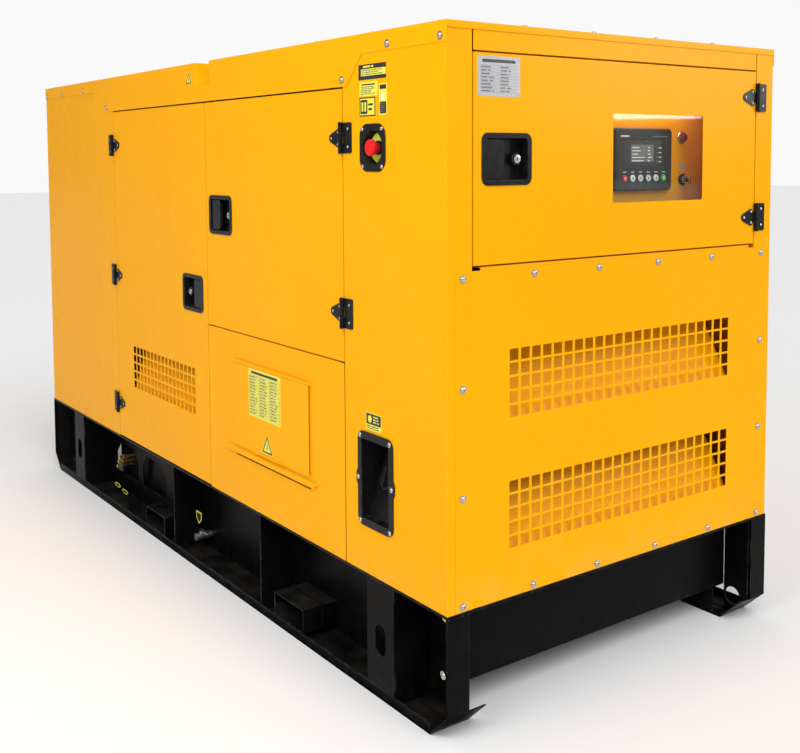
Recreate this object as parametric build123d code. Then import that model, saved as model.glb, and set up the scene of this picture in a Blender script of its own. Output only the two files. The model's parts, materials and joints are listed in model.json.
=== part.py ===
from build123d import *
import math
import os

# Silent, skid-mounted diesel generator. Millimetres, +Z up, origin on the ground under the middle.
# +X is the control end, -Y is the long side with the emergency stop and the fuel filler.

# ---------------------------------------------------------------- overall sizes
length = 2700.0
width = 1150.0
height = 1600.0
skid_height = 295.0
sheet = 2.0              # canopy sheet steel
plate = 6.0              # skid plate
seam = 4.0               # gap round doors and between panels

half_l = length / 2
half_w = width / 2
skin_x = half_l - sheet  # outer face of the end walls, the roof lip and bolt-on panels lie outside it
skin_y = half_w - sheet  # outer face of the side walls

# ---------------------------------------------------------------- canopy sizes
front_corner_run = 413.0     # control end to the seam of the output door
door_split_run = length * 0.4389 - 0.03   # control end to the seam between the two side doors
service_end_run = length - 756.0          # control end to the hinge seam of the service door
post_lap = 75.0              # corner panels wrap this far round the ends
skin_top = 10.0              # side skins stop this far below the roof sheet
roof_narrow = 46.0           # depth of the narrow roof skirt
roof_deep = 120.0            # depth of the roof skirt over the doors
roof_step_run = 324.0        # control end to the start of the sloped step in the skirt
roof_step_slope = 68.0
rear_step_run = 640.0        # rear end to the start of the rear step
roof_lip = 16.0              # turned-down lip over the ends
lower_panel_top = 800.0
door_depth = 25.0
stop_gap = 4.0               # room for the door seal behind a closed door
stop_flange = 20.0


control_door_bottom = 1067.0
control_door_top = height - 62.0
grille_panel_top = 1058.0
grille_panel_half = 550.0
service_hinges = (420.0, 889.0, height - 243.0)
output_hinges = (925.0, height - 244.0)
control_hinges = (1141.0, control_door_top - 72.0)
window_u = (-59.0, 279.0)
window_z = (1195.0, 1412.0)
window_lap = 12.0
pane = 4.0

hole = 27.0                  # square grille hole
pitch_u = 34.5
pitch_z = 32.5
grille_columns = 23
grille_rows = 5
side_hole = 24.0
side_pitch_u = 30.4
side_pitch_z = 30.6
side_columns = int((service_end_run - door_split_run - 240.0) / side_pitch_u)
upper_grille_z = 795.0
lower_grille_z = 490.0
baffle_depth = 110.0
side_grille_run = (door_split_run + service_end_run) / 2 - 21.5
side_grille_z = 573.0

# ---------------------------------------------------------------- latches and hinges
bezel_w = 148.0
bezel_h = 117.0
bezel_proud = 3.0
cup_w = 124.0
cup_h = 93.0
cup_depth = 26.0
cup_wall = 3.0
cup_corner = 6.0
paddle_w = 54.0
paddle_pin_r = 2.5
pin_clearance = 0.05
output_latch = (door_split_run - 97.0, 1140.0)     # run from the control end, height
service_latch = (door_split_run + 105.0, 887.0)
control_latch = (-402.0, 1303.0)                   # across from the middle, height

hinge_h = 75.0
hinge_r = 6.0
hinge_out = 6.5              # hinge axis in front of the wall skin
hinge_pin_r = 2.9
strap_reach = 58.0           # tip of the strap leaf beyond the hinge axis
fixed_reach = 42.0           # far edge of the fixed leaf from the hinge axis
leaf = 3.0

# ---------------------------------------------------------------- skid sizes
rail_depth = 110.0           # side wall of the rail is set back this far
rail_lip = 28.0
rail_lip_t = 4.0
rail_cap = 63.0
foot_rise = 62.0
foot_run = 65.0
cross_setback = 86.0
cross_bottom = 80.0
drag_hole_r = 25.0
drag_hole_in = 57.0
drag_hole_z = 54.0
pillar_runs = ((204.0, 317.0), (length - 366.0, length - 259.0))
slot_w = 42.0
slot_h = 76.0
slot_z = 147.0
rib_gap = 603.0              # middle rail bay, rib to rib
rib_runs = (length * 0.3233 + 0.09, length * 0.3233 + 0.09 + rib_gap)
pocket_runs = (rib_runs[0] - 159.0, rib_runs[1] + 164.0)
valve_run = rib_runs[1] - 56.0
pocket_w = 160.0
pocket_top = 90.0
pocket_wall = 4.0
niche_runs = (length - 800.0, length - 540.0)
niche_w = 220.0
niche_z = (70.0, 190.0)
niche_tray = 54.0
niche_corner = 45.0

tank_gap = 20.0
tank_top = 235.0
tank_ends = (390.0 - half_l, half_l - 200.0)
bearer_w = 60.0
bearers_x = (-705.0, -400.0, 800.0, 990.0)

# ---------------------------------------------------------------- running gear sizes
crank_z = 640.0
crank_r = 45.0
crankcase_drop = 130.0         # crank axis to the bottom of the block
deck_z = 1000.0                # top of the block
engine_wall = 16.0
engine_ribs = 6
head_half = 150.0
head_h = 90.0
rocker_half = 110.0
rocker_h = 90.0
cover_wall = 3.0
pan_h = 110.0
bell_r = 250.0                 # flywheel housing
bell_wall = 30.0
flywheel_r = 205.0
flywheel_t = 48.0
flywheel_gap = 22.0            # back of the block to the flywheel
stub_r = 18.0                  # fan bearing stub
pulley_gap = 22.0              # front of the block to the pulleys
pulley_t = 24.0
groove_t = 10.0
groove_depth = 9.0
crank_pulley_r = 75.0
fan_pulley_r = 85.0
fan_z = 860.0
mount_h = 50.0
mount_r = 38.0
mount_y = 260.0
engine_x = (-530.0, 180.0)
engine_half = 210.0
alternator_x = (330.0, 930.0)
alternator_r = 240.0
rotor_r = 130.0
shaft_r = 30.0
bearing_clearance = 0.05
fan_x = -610.0
fan_r = 290.0
radiator_x = (-760.0, -690.0)
radiator_half = 400.0
radiator_z = (skid_height, 1220.0)
radiator_tank_h = 110.0
radiator_side = 20.0
core_t = 30.0
silencer_x = 300.0 - half_l
silencer_z = height - 230.0
silencer_r = 120.0
silencer_half = 340.0
exhaust_pipe_r = 32.0

# ---------------------------------------------------------------- lifting and controls
post_w = 60.0
lift_x = half_l - door_split_run - 11.0
recess_w = 99.0
recess_in = 98.0
recess_drop = 74.0
eye_t = 12.0
eye_r = 20.0
eye_z = height - 40.0

panel_face = half_l - 88.0
panel_half = 440.0
panel_z = (1085.0, control_door_top - 18.0)
panel_depth = 172.0
controller_yz = (134.0, 1300.0)
controller_w = 216.0
controller_h = 161.0
controller_t = 15.0
button_r = 9.0
button_pitch = 29.6
button_drop = 48.0           # button row below the controller's middle
button_count = 6
button_travel = 1.2
lamp_yz = (295.0, 1358.0)
key_yz = (300.0, 1246.0)

stop_run = 281.0
stop_z = 1331.0
stop_w = 106.0
stop_h = 113.0
stop_round = 64.0
stop_corner = 30.0
stop_bowl_r = 41.0
stop_bowl = 22.0
stop_head_r = 20.0
stop_stem_r = 12.0
stop_travel = 6.0

filler_run = 277.5
filler_z = 530.0
filler_w = 147.0
filler_h = 234.0
filler_open_w = 113.0
filler_open_h = 196.0
filler_wall = 3.0
filler_shallow = 18.0
filler_deep = 86.0
neck_r = 24.0
cap_r = 30.0
cap_t = 22.0

flap_x = (half_l - door_split_run + 178.0, half_l - front_corner_run - 169.0)
flap_z = (470.0, 722.0)
flap_roll_r = 4.0
flap_pin_r = 2.0
lip_x = (flap_x[0] - 51.0, flap_x[1] + 32.0)
lip_z = 460.0
cable_slot_h = 12.0
cable_window_edge = 26.0

bolt_r = 7.0
bolt_h = 4.5
washer_r = 9.5
washer_t = 1.5


# ---------------------------------------------------------------- shape helpers
def run(distance):
    """X of a point that lies this far from the control end."""
    return half_l - distance


def block(x0, x1, y0, y1, z0, z1):
    """Box between two corners."""
    centre = Pos((x0 + x1) / 2, (y0 + y1) / 2, (z0 + z1) / 2)
    return centre * Box(x1 - x0, y1 - y0, z1 - z0)


def prism(axis, points, low, high):
    """Closed outline across one axis, carried from low to high along it."""
    place = {
        "x": lambda p: (low, p[0], p[1]),
        "y": lambda p: (p[0], low, p[1]),
        "z": lambda p: (p[0], p[1], low),
    }[axis]
    direction = {"x": (1, 0, 0), "y": (0, 1, 0), "z": (0, 0, 1)}[axis]
    outline = Wire.make_polygon([place(p) for p in points], close=True)
    return extrude(Face(outline), amount=high - low, dir=direction)


def rod(axis, a, b, radius, low, high):
    """Round bar along an axis; a and b are its place on the other two axes, in X, Y, Z order."""
    middle = (low + high) / 2
    bar = Cylinder(radius, high - low)
    if axis == "x":
        return Pos(middle, a, b) * Rot(0, 90, 0) * bar
    if axis == "y":
        return Pos(a, middle, b) * Rot(90, 0, 0) * bar
    return Pos(a, b, middle) * bar


def raised(sketch, u, z, inner, outer):
    """A flat outline on a wall at y = 0, carried from depth inner to depth outer, outwards is -Y."""
    face = Plane(origin=(u, inner, z), x_dir=(1, 0, 0), z_dir=(0, -1, 0))
    return extrude(face * sketch, amount=inner - outer)


def square_grid(columns, rows, step_u, step_z, size, u, z):
    """Square outlines of a grille field, as closed wires on the wall plane y = 0."""
    wires = []
    for column in range(columns):
        for row in range(rows):
            cu = u + (column - (columns - 1) / 2) * step_u
            cz = z + (row - (rows - 1) / 2) * step_z
            h = size / 2
            corners = [(cu - h, 0, cz - h), (cu + h, 0, cz - h), (cu + h, 0, cz + h), (cu - h, 0, cz + h)]
            wires.append(Wire.make_polygon(corners, close=True))
    return wires


def perforated(points, wires, thickness):
    """Sheet on the wall plane with grille holes, its outer face at y = 0."""
    outline = Wire.make_polygon([(u, 0, z) for u, z in points], close=True)
    return extrude(Face(outline, wires), amount=thickness, dir=(0, 1, 0))


def rectangle_points(u0, u1, z0, z1):
    return [(u0, z0), (u1, z0), (u1, z1), (u0, z1)]


# A wall piece is drawn on y = 0, outwards -Y, then placed on one of the four walls.
def on_left(shape):
    return Pos(0, -skin_y, 0) * shape


def on_right(shape):
    return mirror(on_left(shape), about=Plane.XZ)


def on_front(shape):
    return Pos(skin_x, 0, 0) * Rot(0, 0, 90) * shape


def on_rear(shape):
    return Pos(-skin_x, 0, 0) * Rot(0, 0, -90) * shape


def other_side(shapes):
    return [mirror(shape, about=Plane.XZ) for shape in shapes]


def save(node, shapes):
    """Write one node; its pieces stay separate solids."""
    solids = []
    for shape in shapes:
        solids.extend(shape.solids())
    whole = solids[0] if len(solids) == 1 else Compound(children=solids)
    export_step(whole, os.path.join("parts", node + ".step"))


# ---------------------------------------------------------------- skid
def rail_left():
    outer = -half_w
    web_out = outer + rail_depth
    web_in = web_out + rail_lip_t
    cap_in = outer + rail_cap
    under = skid_height - plate
    foot_end = half_l - foot_run
    pieces = [
        block(-half_l, half_l, outer, web_in, under, skid_height),
        block(-foot_end, foot_end, outer + rail_lip_t, web_in, 0, plate),
        block(-foot_end, foot_end, outer, outer + rail_lip_t, 0, rail_lip),
    ]
    tank_side = outer + rail_depth + rail_lip_t + tank_gap
    tray_x = (run(niche_runs[1]) - niche_w / 2, run(niche_runs[0]) + niche_w / 2)
    floor = block(tray_x[0], tray_x[1], web_in, tank_side, niche_tray, niche_tray + rail_lip_t)
    back = block(tray_x[0], tray_x[1], tank_side, tank_side + rail_lip_t, niche_tray, pocket_top)
    pieces += [floor, back]
    for end in (-1, 1):
        pieces += rail_end(end, outer, cap_in, web_in, under)
    for start, stop in pillar_runs:
        high_x = run(start)
        low_x = run(stop)
        face = block(low_x, high_x, outer, outer + rail_lip_t, rail_lip, under)
        slot = Pos((low_x + high_x) / 2, outer, slot_z) * Rot(90, 0, 0) * extrude(
            SlotOverall(slot_h, slot_w, rotation=90), amount=plate, both=True)
        pieces.append(face - slot)
        pieces.append(block(high_x - rail_lip_t, high_x, outer + rail_lip_t, web_out, plate, under))
    for distance in rib_runs:
        x = run(distance)
        pieces.append(block(x - plate / 2, x + plate / 2, outer + rail_lip_t, web_out, plate, under))
    return pieces


def rail_web():
    """Side wall of the left rail, cut out for the fork pockets and the service openings."""
    web_out = -half_w + rail_depth
    web_in = web_out + rail_lip_t
    inner_end = half_l - cross_setback - rail_lip_t
    web = block(-inner_end, inner_end, web_out, web_in, plate, skid_height - plate)
    for distance in pocket_runs:
        x = run(distance)
        web -= block(x - pocket_w / 2, x + pocket_w / 2, web_out - 1, web_in + 1,
                     rail_lip - pocket_wall, pocket_top)
    for distance in niche_runs:
        web -= niche_cut(run(distance), web_out - 1, web_in + 1)
    return web


def niche_cut(x, y0, y1):
    """Arched service opening in a rail wall, with clipped top corners."""
    half = niche_w / 2
    low, high = niche_z
    corner = niche_corner
    points = [(x - half, low), (x + half, low), (x + half, high - corner), (x + half - corner, high),
              (x - half + corner, high), (x - half, high - corner)]
    return prism("y", points, y0, y1)


def rail_end(end, outer, cap_in, web_in, under):
    """Cap, sloped foot and drag lug at one end of a rail."""
    face_x = half_l
    back_x = half_l - plate
    foot_x = half_l - foot_run
    cross_x = half_l - cross_setback
    cap = block(back_x, face_x, outer, cap_in, foot_rise, under)
    foot_points = [(face_x, foot_rise), (back_x, foot_rise), (foot_x, plate), (foot_x, 0)]
    foot = prism("y", foot_points, outer, web_in)
    lug_points = [(cross_x, plate), (foot_x, plate), (back_x, foot_rise), (back_x, under), (cross_x, under)]
    lug = prism("y", lug_points, cap_in, cap_in + plate)
    lug -= rod("y", half_l - drag_hole_in, drag_hole_z, drag_hole_r, cap_in - 1, cap_in + plate + 1)
    pieces = [cap, foot, lug]
    if end < 0:
        pieces = [mirror(piece, about=Plane.YZ) for piece in pieces]
    return pieces


def cross_members():
    """Cross panels with their flush top lips, and the bearers that carry the engine."""
    web_in = half_w - rail_depth - rail_lip_t
    lug_in = half_w - rail_cap - plate
    under = skid_height - plate
    cross_x = half_l - cross_setback
    pieces = []
    for end in (-1, 1):
        panel = block(cross_x - rail_lip_t, cross_x, -lug_in, lug_in, cross_bottom, under)
        lip = block(cross_x - rail_lip_t, half_l, -web_in, web_in, under, skid_height)
        for piece in (panel, lip):
            pieces.append(piece if end > 0 else mirror(piece, about=Plane.YZ))
    for x in bearers_x:
        tube = block(x - bearer_w / 2, x + bearer_w / 2, -web_in, web_in, tank_top + sheet, skid_height)
        core = block(x - bearer_w / 2 + rail_lip_t, x + bearer_w / 2 - rail_lip_t, -web_in, web_in,
                     tank_top + sheet + rail_lip_t, skid_height - rail_lip_t)
        pieces.append(tube - core)
    return pieces


def fork_pockets():
    end_y = half_w - rail_lip_t
    low = rail_lip - pocket_wall
    pieces = []
    for distance in pocket_runs:
        x = run(distance)
        tube = block(x - pocket_w / 2, x + pocket_w / 2, -end_y, end_y, low, pocket_top)
        core = block(x - pocket_w / 2 + pocket_wall, x + pocket_w / 2 - pocket_wall, -end_y, end_y,
                     low + pocket_wall, pocket_top - pocket_wall)
        pieces.append(tube - core)
    return pieces


def filler_normal():
    """Slope of the filler recess: unit normal in Y and Z, out and up."""
    rise = filler_open_h
    reach = filler_deep - filler_shallow
    size = math.hypot(rise, reach)
    return (-rise / size, reach / size)


def filler_mouth():
    """Middle of the sloped back of the filler recess."""
    middle = (filler_shallow + filler_deep) / 2
    return (run(filler_run), -skin_y + middle, filler_z)


def fuel_tank():
    """Base tank resting on the fork pockets, with the neck that climbs to the filler."""
    half = half_w - rail_depth - rail_lip_t - tank_gap
    x0, x1 = tank_ends
    shell = block(x0, x1, -half, half, pocket_top, tank_top)
    shell = fillet(shell.edges().filter_by(Axis.Z), 25)
    shell -= block(x0 + 3, x1 - 3, -half + 3, half - 3, pocket_top + 3, tank_top - 3)
    x, y, z = filler_mouth()
    ny, nz = filler_normal()
    reach = 135.0
    start = (x, y - ny * (filler_wall + 1), z - nz * (filler_wall + 1))
    elbow = (x, y - ny * reach, z - nz * reach)
    path = FilletPolyline(start, elbow, (x, elbow[1], tank_top), radius=60)
    section = Plane(origin=start, z_dir=(0, -ny, -nz)) * Circle(neck_r)
    neck = sweep(section, path=path)
    return [shell, neck]


def drain_fittings():
    """Three brass stubs on the tank's side behind the service opening, and the drain valve body."""
    tank_side = -(half_w - rail_depth - rail_lip_t - tank_gap)
    x = run(niche_runs[1])
    pieces = []
    for index in range(3):
        z = 112.0 + 20.0 * index
        stub_x = x + 12.0 * (index - 1)
        stub = rod("y", stub_x, z, 6.5, tank_side - 62, tank_side)
        nut = Pos(stub_x, tank_side - 40, z) * Rot(90, 0, 0) * extrude(RegularPolygon(10, 6), amount=8, both=True)
        pieces.append(stub + nut)
    vx, vy, vz = valve_place()
    web_out = -half_w + rail_depth
    body = rod("y", vx, vz, 12, vy - 22, web_out) + rod("z", vx, vy, 8, vz, vz + 16)
    body -= rod("z", vx, vy, 4 + pin_clearance, vz + 4, vz + 17)
    pieces.append(body)
    return pieces


def valve_place():
    """Where the drain valve's stem stands."""
    return (run(valve_run), -half_w + rail_depth - 34.0, 52.0)


def drain_valve_lever():
    x, y, z = valve_place()
    stem = rod("z", x, y, 4, z + 5, z + 21)
    lever = block(x - 9, x + 52, y - 6, y + 6, z + 17, z + 21)
    lever = fillet(lever.edges().filter_by(Axis.Z), 5)
    return [stem + lever]


# ---------------------------------------------------------------- canopy walls
def skin_z():
    return skid_height, height - skin_top


def door_edge(edge, toward, z0, z1):
    """Return and stop flange that a door closes against; toward is +1 or -1 along the wall."""
    back = door_depth + stop_gap
    lip_u = sorted((edge, edge - toward * sheet))
    stop_u = sorted((edge - toward * sheet, edge + toward * stop_flange))
    side = block(lip_u[0], lip_u[1], 0, back + sheet, z0, z1)
    return side + block(stop_u[0], stop_u[1], back, back + sheet, z0, z1)


def corner_panel(side_edge, low_z, high_z):
    """Folded corner: side skin from side_edge to the end, wrapped round onto the end wall."""
    side = on_left(block(side_edge, skin_x, 0, sheet, low_z, high_z))
    jamb = on_left(door_edge(side_edge, -1, low_z, high_z))
    end_edge = -half_w + post_lap - seam / 2
    wrap = on_front(block(-skin_y, end_edge, 0, sheet, low_z, high_z))
    end_jamb = on_front(door_edge(end_edge, 1, low_z, high_z))
    return side + jamb + wrap + end_jamb


def front_corner_left():
    low, high = skin_z()
    panel = corner_panel(run(front_corner_run) + seam / 2, low, high)
    panel -= on_left(rod("y", run(stop_run), stop_z, stop_bowl_r + filler_wall + 1, -5, sheet + 5))
    hole_w = filler_open_w + 2 * filler_wall + 1
    hole_h = filler_open_h + 2 * filler_wall + 1
    panel -= on_left(raised(Rectangle(hole_w, hole_h), run(filler_run), filler_z, 5, -5))
    return [panel]


def plain_corners():
    """Front right corner and both rear corners."""
    low, high = skin_z()
    front = corner_panel(run(front_corner_run) + seam / 2, low, high)
    rear = mirror(corner_panel(-run(service_end_run) + seam / 2, low, high), about=Plane.YZ)
    return [mirror(front, about=Plane.XZ), rear, mirror(rear, about=Plane.XZ)]


def lower_panel(with_flap):
    """Fixed panel under the output door, with its top stop; the left one has the cable outlet."""
    u0 = run(door_split_run) + seam / 2
    u1 = run(front_corner_run) - seam / 2
    top = lower_panel_top - seam / 2
    back = door_depth + stop_gap
    inner = u1 - stop_flange - seam
    skin = block(u0, u1, 0, sheet, skid_height, top)
    shelf = block(u0 + stop_flange, inner, 0, back + sheet, top - sheet, top)
    stop = block(u0 + stop_flange, inner, back, back + sheet, top - sheet, top + stop_flange)
    panel = skin + shelf + stop
    if with_flap:
        edge = cable_window_edge
        panel -= block(flap_x[0] + edge, flap_x[1] - edge, -1, sheet + 1, flap_z[0] + edge, flap_z[1] - edge)
        slot_top = lip_z - 12
        panel -= block(flap_x[0], flap_x[1], -1, sheet + 1, slot_top - cable_slot_h, slot_top)
        panel += prism("x", [(0, lip_z - 8), (0, lip_z), (-9, lip_z - 3), (-9, lip_z - 15), (-7, lip_z - 15),
                             (-7, lip_z - 7)], lip_x[0], lip_x[1])
        for u0_pin, u1_pin, end in flap_pins():
            panel += flap_bracket(u0_pin, u1_pin, end)
    return panel


def flap_axis_z():
    return flap_z[1] - flap_roll_r


def flap_pins():
    """Pins of the cable flap: from bracket to inside the rolled edge, and which end."""
    reach = 12.0
    gap = 1.0
    low = (flap_x[0] - gap - 4, flap_x[0] + reach, -1)
    high = (flap_x[1] - reach, flap_x[1] + gap + 4, 1)
    return (low, high)


def flap_bracket(u0, u1, end):
    pin = rod("x", -flap_roll_r - 1, flap_axis_z(), flap_pin_r, u0, u1)
    ear_u = (u0, u0 + 4) if end < 0 else (u1 - 4, u1)
    ear = block(ear_u[0], ear_u[1], -2 * flap_roll_r - 1, 0, flap_axis_z() - flap_roll_r, flap_axis_z() + flap_roll_r)
    return pin + ear


def cable_flap():
    """Cover of the output cable window, hung from its rolled top edge."""
    axis_y = -flap_roll_r - 1
    cover = block(flap_x[0], flap_x[1], axis_y - 1, axis_y + 1, flap_z[0], flap_axis_z())
    roll = rod("x", axis_y, flap_axis_z(), flap_roll_r, flap_x[0], flap_x[1])
    grip_inset = 0.3 * (flap_x[1] - flap_x[0])
    grip = block(flap_x[0] + grip_inset, flap_x[1] - grip_inset, axis_y - 5, axis_y - 1, flap_z[0], flap_z[0] + 2)
    bore = rod("x", axis_y, flap_axis_z(), flap_pin_r + pin_clearance, flap_x[0] - 1, flap_x[1] + 1)
    return [on_left(cover + roll + grip - bore)]


def front_frame():
    """Header and sill of the control door opening, and the sill behind the grille panel's foot."""
    half = half_w - post_lap + seam / 2 - stop_flange - seam
    face = half_w - post_lap - seam / 2 + seam
    back = door_depth + stop_gap
    low, high = skin_z()
    top_z = control_door_top + seam / 2
    header = block(-face + seam, face - seam, 0, sheet, top_z, high)
    header += block(-half, half, 0, back + sheet, top_z, top_z + sheet)
    header += block(-half, half, back, back + sheet, top_z - stop_flange, top_z + sheet)
    low_z = control_door_bottom - seam / 2
    sill = block(-half, half, 0, sheet, grille_panel_top - 40, low_z)
    sill += block(-half, half, 0, back + sheet, low_z - sheet, low_z)
    sill += block(-half, half, back, back + sheet, low_z - sheet, low_z + stop_flange)
    foot = block(-half, half, 0, sheet, low, low + 40) + block(-half, half, 0, back, low, low + sheet)
    return [on_front(header), on_front(sill), on_front(foot)]


def grille_field(z):
    return square_grid(grille_columns, grille_rows, pitch_u, pitch_z, hole, 0, z)


def baffle(u0, u1, z, half_h, depth):
    """Sloped air baffle behind a grille field, close at its foot and deep at its head."""
    near = sheet + 4
    foot_z = z - half_h - 14
    head_z = z + half_h + 14
    points = [(near, foot_z), (near + sheet, foot_z), (depth, head_z), (depth - sheet, head_z)]
    return prism("x", points, u0, u1)


def front_grille_panel():
    """Bolt-on lower panel of the control end with two perforated fields and their baffles."""
    clip = 12.0
    half = grille_panel_half
    low = skid_height + 2
    points = [(-half, low), (half, low), (half, grille_panel_top), (-half + clip, grille_panel_top),
              (-half, grille_panel_top - clip)]
    wires = grille_field(upper_grille_z) + grille_field(lower_grille_z)
    panel = Pos(0, -sheet, 0) * perforated(points, wires, sheet)
    pieces = [on_front(panel)]
    half_u = grille_columns * pitch_u / 2 + 8
    half_h = grille_rows * pitch_z / 2
    for z in (upper_grille_z, lower_grille_z):
        pieces.append(on_front(baffle(-half_u, half_u, z, half_h, baffle_depth)))
    return pieces


def rear_panel():
    """Bolt-on rear end with the hot air outlet in three perforated fields."""
    half = grille_panel_half
    low = skid_height + 2
    top = height - roof_lip - seam
    middle = (low + top) / 2
    step = pitch_z * grille_rows + 60
    wires = []
    for index in (-1, 0, 1):
        wires += grille_field(middle + index * step)
    panel = Pos(0, -sheet, 0) * perforated(rectangle_points(-half, half, low, top), wires, sheet)
    rim = []
    for z0, z1 in ((low, low + 40), (top - 40, top)):
        rim.append(on_rear(block(-half_w + post_lap + stop_flange, half_w - post_lap - stop_flange, 0, 25, z0, z1)
                           - block(-half_w, half_w, sheet, 26, z0 + sheet, z1 - sheet)))
    return [on_rear(panel)] + rim


def roof_skirt_points():
    """Outline of one long skirt in X and Z: narrow at the corners, deep over the doors."""
    narrow = height - roof_narrow
    deep = height - roof_deep
    front = run(roof_step_run)
    rear = -half_l + rear_step_run
    return [(-half_l, height), (-half_l, narrow), (rear, narrow), (rear + roof_step_slope, deep),
            (front - roof_step_slope, deep), (front, narrow), (half_l, narrow), (half_l, height)]


def roof():
    """Roof sheet with skirts, end lips and the two lifting recesses."""
    top = block(-half_l, half_l, -half_w, half_w, height - sheet, height)
    skirt = prism("y", roof_skirt_points(), -half_w, -half_w + sheet)
    shell = top + skirt + mirror(skirt, about=Plane.XZ)
    for x in (-half_l, half_l - sheet):
        shell += block(x, x + sheet, -half_w, half_w, height - roof_lip, height)
    r0 = lift_x - recess_w / 2
    r1 = lift_x + recess_w / 2
    floor = height - recess_drop
    inner = -half_w + recess_in
    for turn in (False, True):
        notch = block(r0, r1, -half_w - 1, inner, floor, height + 1)
        pan = block(r0 - sheet, r1 + sheet, -half_w, inner + sheet, floor - sheet, height)
        pan -= block(r0, r1, -half_w - 1, inner, floor, height + 1)
        pan -= block(lift_x - 32, lift_x + 32, eye_y() - eye_t / 2 - 2, eye_y() + eye_t / 2 + 2, floor - 5, floor + 1)
        if turn:
            notch = mirror(notch, about=Plane.XZ)
            pan = mirror(pan, about=Plane.XZ)
        shell = shell - notch + pan
    return [shell]


def eye_y():
    """Middle plane of the left lifting eye."""
    return -skin_y + door_depth + stop_gap + sheet + post_w / 2 - 4


def lifting_frame():
    """Two posts standing on the rails, a cross tube between them and an eye on each post."""
    out_y = -skin_y + door_depth + stop_gap + sheet
    floor = height - recess_drop
    post_top = floor - sheet - 2
    x0 = lift_x - post_w / 2
    x1 = lift_x + post_w / 2
    wall = 4.0
    post = block(x0, x1, out_y, out_y + post_w, skid_height, post_top)
    post -= block(x0 + wall, x1 - wall, out_y + wall, out_y + post_w - wall, skid_height, post_top - wall)
    eye = block(lift_x - 28, lift_x + 28, eye_y() - eye_t / 2, eye_y() + eye_t / 2, post_top, eye_z)
    eye += rod("y", lift_x, eye_z, 28, eye_y() - eye_t / 2, eye_y() + eye_t / 2)
    eye -= rod("y", lift_x, eye_z, eye_r, eye_y() - eye_t, eye_y() + eye_t)
    side = [post + eye]
    tube = block(x0, x1, out_y + post_w, -out_y - post_w, post_top - post_w, post_top)
    tube -= block(x0 + wall, x1 - wall, out_y, -out_y, post_top - post_w + wall, post_top - wall)
    return side + other_side(side) + [tube]


# ---------------------------------------------------------------- fasteners
def bolt():
    """Washer and dome head on the wall plane, outwards -Y."""
    head = Pos(0, -washer_t - bolt_h / 2, 0) * Rot(90, 0, 0) * Cylinder(bolt_r, bolt_h)
    head = fillet(head.edges().sort_by(Axis.Y)[0], 2.6)
    return head + rod("y", 0, 0, washer_r, -washer_t, 0)


def canopy_bolts():
    one = bolt()
    pieces = []
    spread = [-530.0, -318.0, -106.0, 106.0, 318.0, 530.0]
    columns_z = (554.0, 798.0)
    rear_top = height - roof_lip - seam - 16
    for wall, top in ((on_front, grille_panel_top - 16), (on_rear, rear_top)):
        for u in spread:
            for z in (skid_height + 14, top):
                pieces.append(wall(Pos(u, -sheet, z) * one))
        for z in columns_z + ((1042.0, 1300.0) if wall is on_rear else ()):
            for u in (spread[0], spread[-1]):
                pieces.append(wall(Pos(u, -sheet, z) * one))
    skirt = [(half_l - 21, 1568.0), (half_l - 218, 1568.0), (half_l - 412, height - 103),
             (-half_l + 696, height - 105), (-half_l + 456, 1567.0), (-half_l + 212, 1567.0), (-half_l + 21, 1567.0)]
    for x, z in skirt:
        piece = on_left(Pos(x, -sheet, z) * one)
        pieces += [piece, mirror(piece, about=Plane.XZ)]
    up = Rot(-90, 0, 0) * one
    for index in range(5):
        for x in (half_l - 53 - 257 * index, -half_l + 53 + 257 * index):
            for y in (-half_w + 25, half_w - 25):
                pieces.append(Pos(x, y, height) * up)
    for y in (-333.0, -111.0, 111.0, 333.0):
        for x in (-half_l + 20, half_l - 20):
            pieces.append(Pos(x, y, height) * up)
    pieces.append(Pos(half_l - 14, -half_w, 160) * one)
    return pieces


# ---------------------------------------------------------------- hinges
def hinge_fixed():
    """Leaf, outer knuckles and pin; the door lies towards +X."""
    half = hinge_h / 2
    third = hinge_h / 6 + 0.3
    flat = raised(RectangleRounded(fixed_reach - 8, hinge_h, 5), -(fixed_reach + 8) / 2, 0, 0, -leaf)
    pieces = flat
    for z0, z1 in ((-half, -third), (third, half)):
        pieces += rod("z", 0, -hinge_out, hinge_r, z0, z1)
        pieces += block(-9, 0, -leaf, 0, z0, z1)
    pieces -= rod("z", 0, -hinge_out, hinge_pin_r, -half - 1, half + 1)
    pin = rod("z", 0, -hinge_out, hinge_pin_r, -half, half)
    cap = rod("z", 0, -hinge_out, 4.6, half, half + 2) + rod("z", 0, -hinge_out, 4.6, -half - 2, -half)
    return [pieces, pin + cap]


def hinge_moving():
    """Strap leaf with the middle knuckle, on the door."""
    third = hinge_h / 6
    spots = [Pos(17, 15) * Circle(8), Pos(17, -15) * Circle(8), Pos(strap_reach - 11, 0) * Circle(11)]
    hull = make_hull((spots[0] + spots[1] + spots[2]).edges())
    strap = raised(hull, 0, 0, 0, -leaf)
    strap += block(0, 14, -leaf, 0, -third, third)
    strap += rod("z", 0, -hinge_out, hinge_r, -third, third)
    strap -= rod("z", 0, -hinge_out, hinge_pin_r + pin_clearance, -third - 1, third + 1)
    return [strap]


def hinge_set(maker, u, heights, flip):
    """The same hinge at several heights; flip turns it so that the door lies towards -X."""
    pieces = []
    for z in heights:
        for piece in maker():
            turned = mirror(piece, about=Plane.YZ) if flip else piece
            pieces.append(Pos(u, 0, z) * turned)
    return pieces


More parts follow.
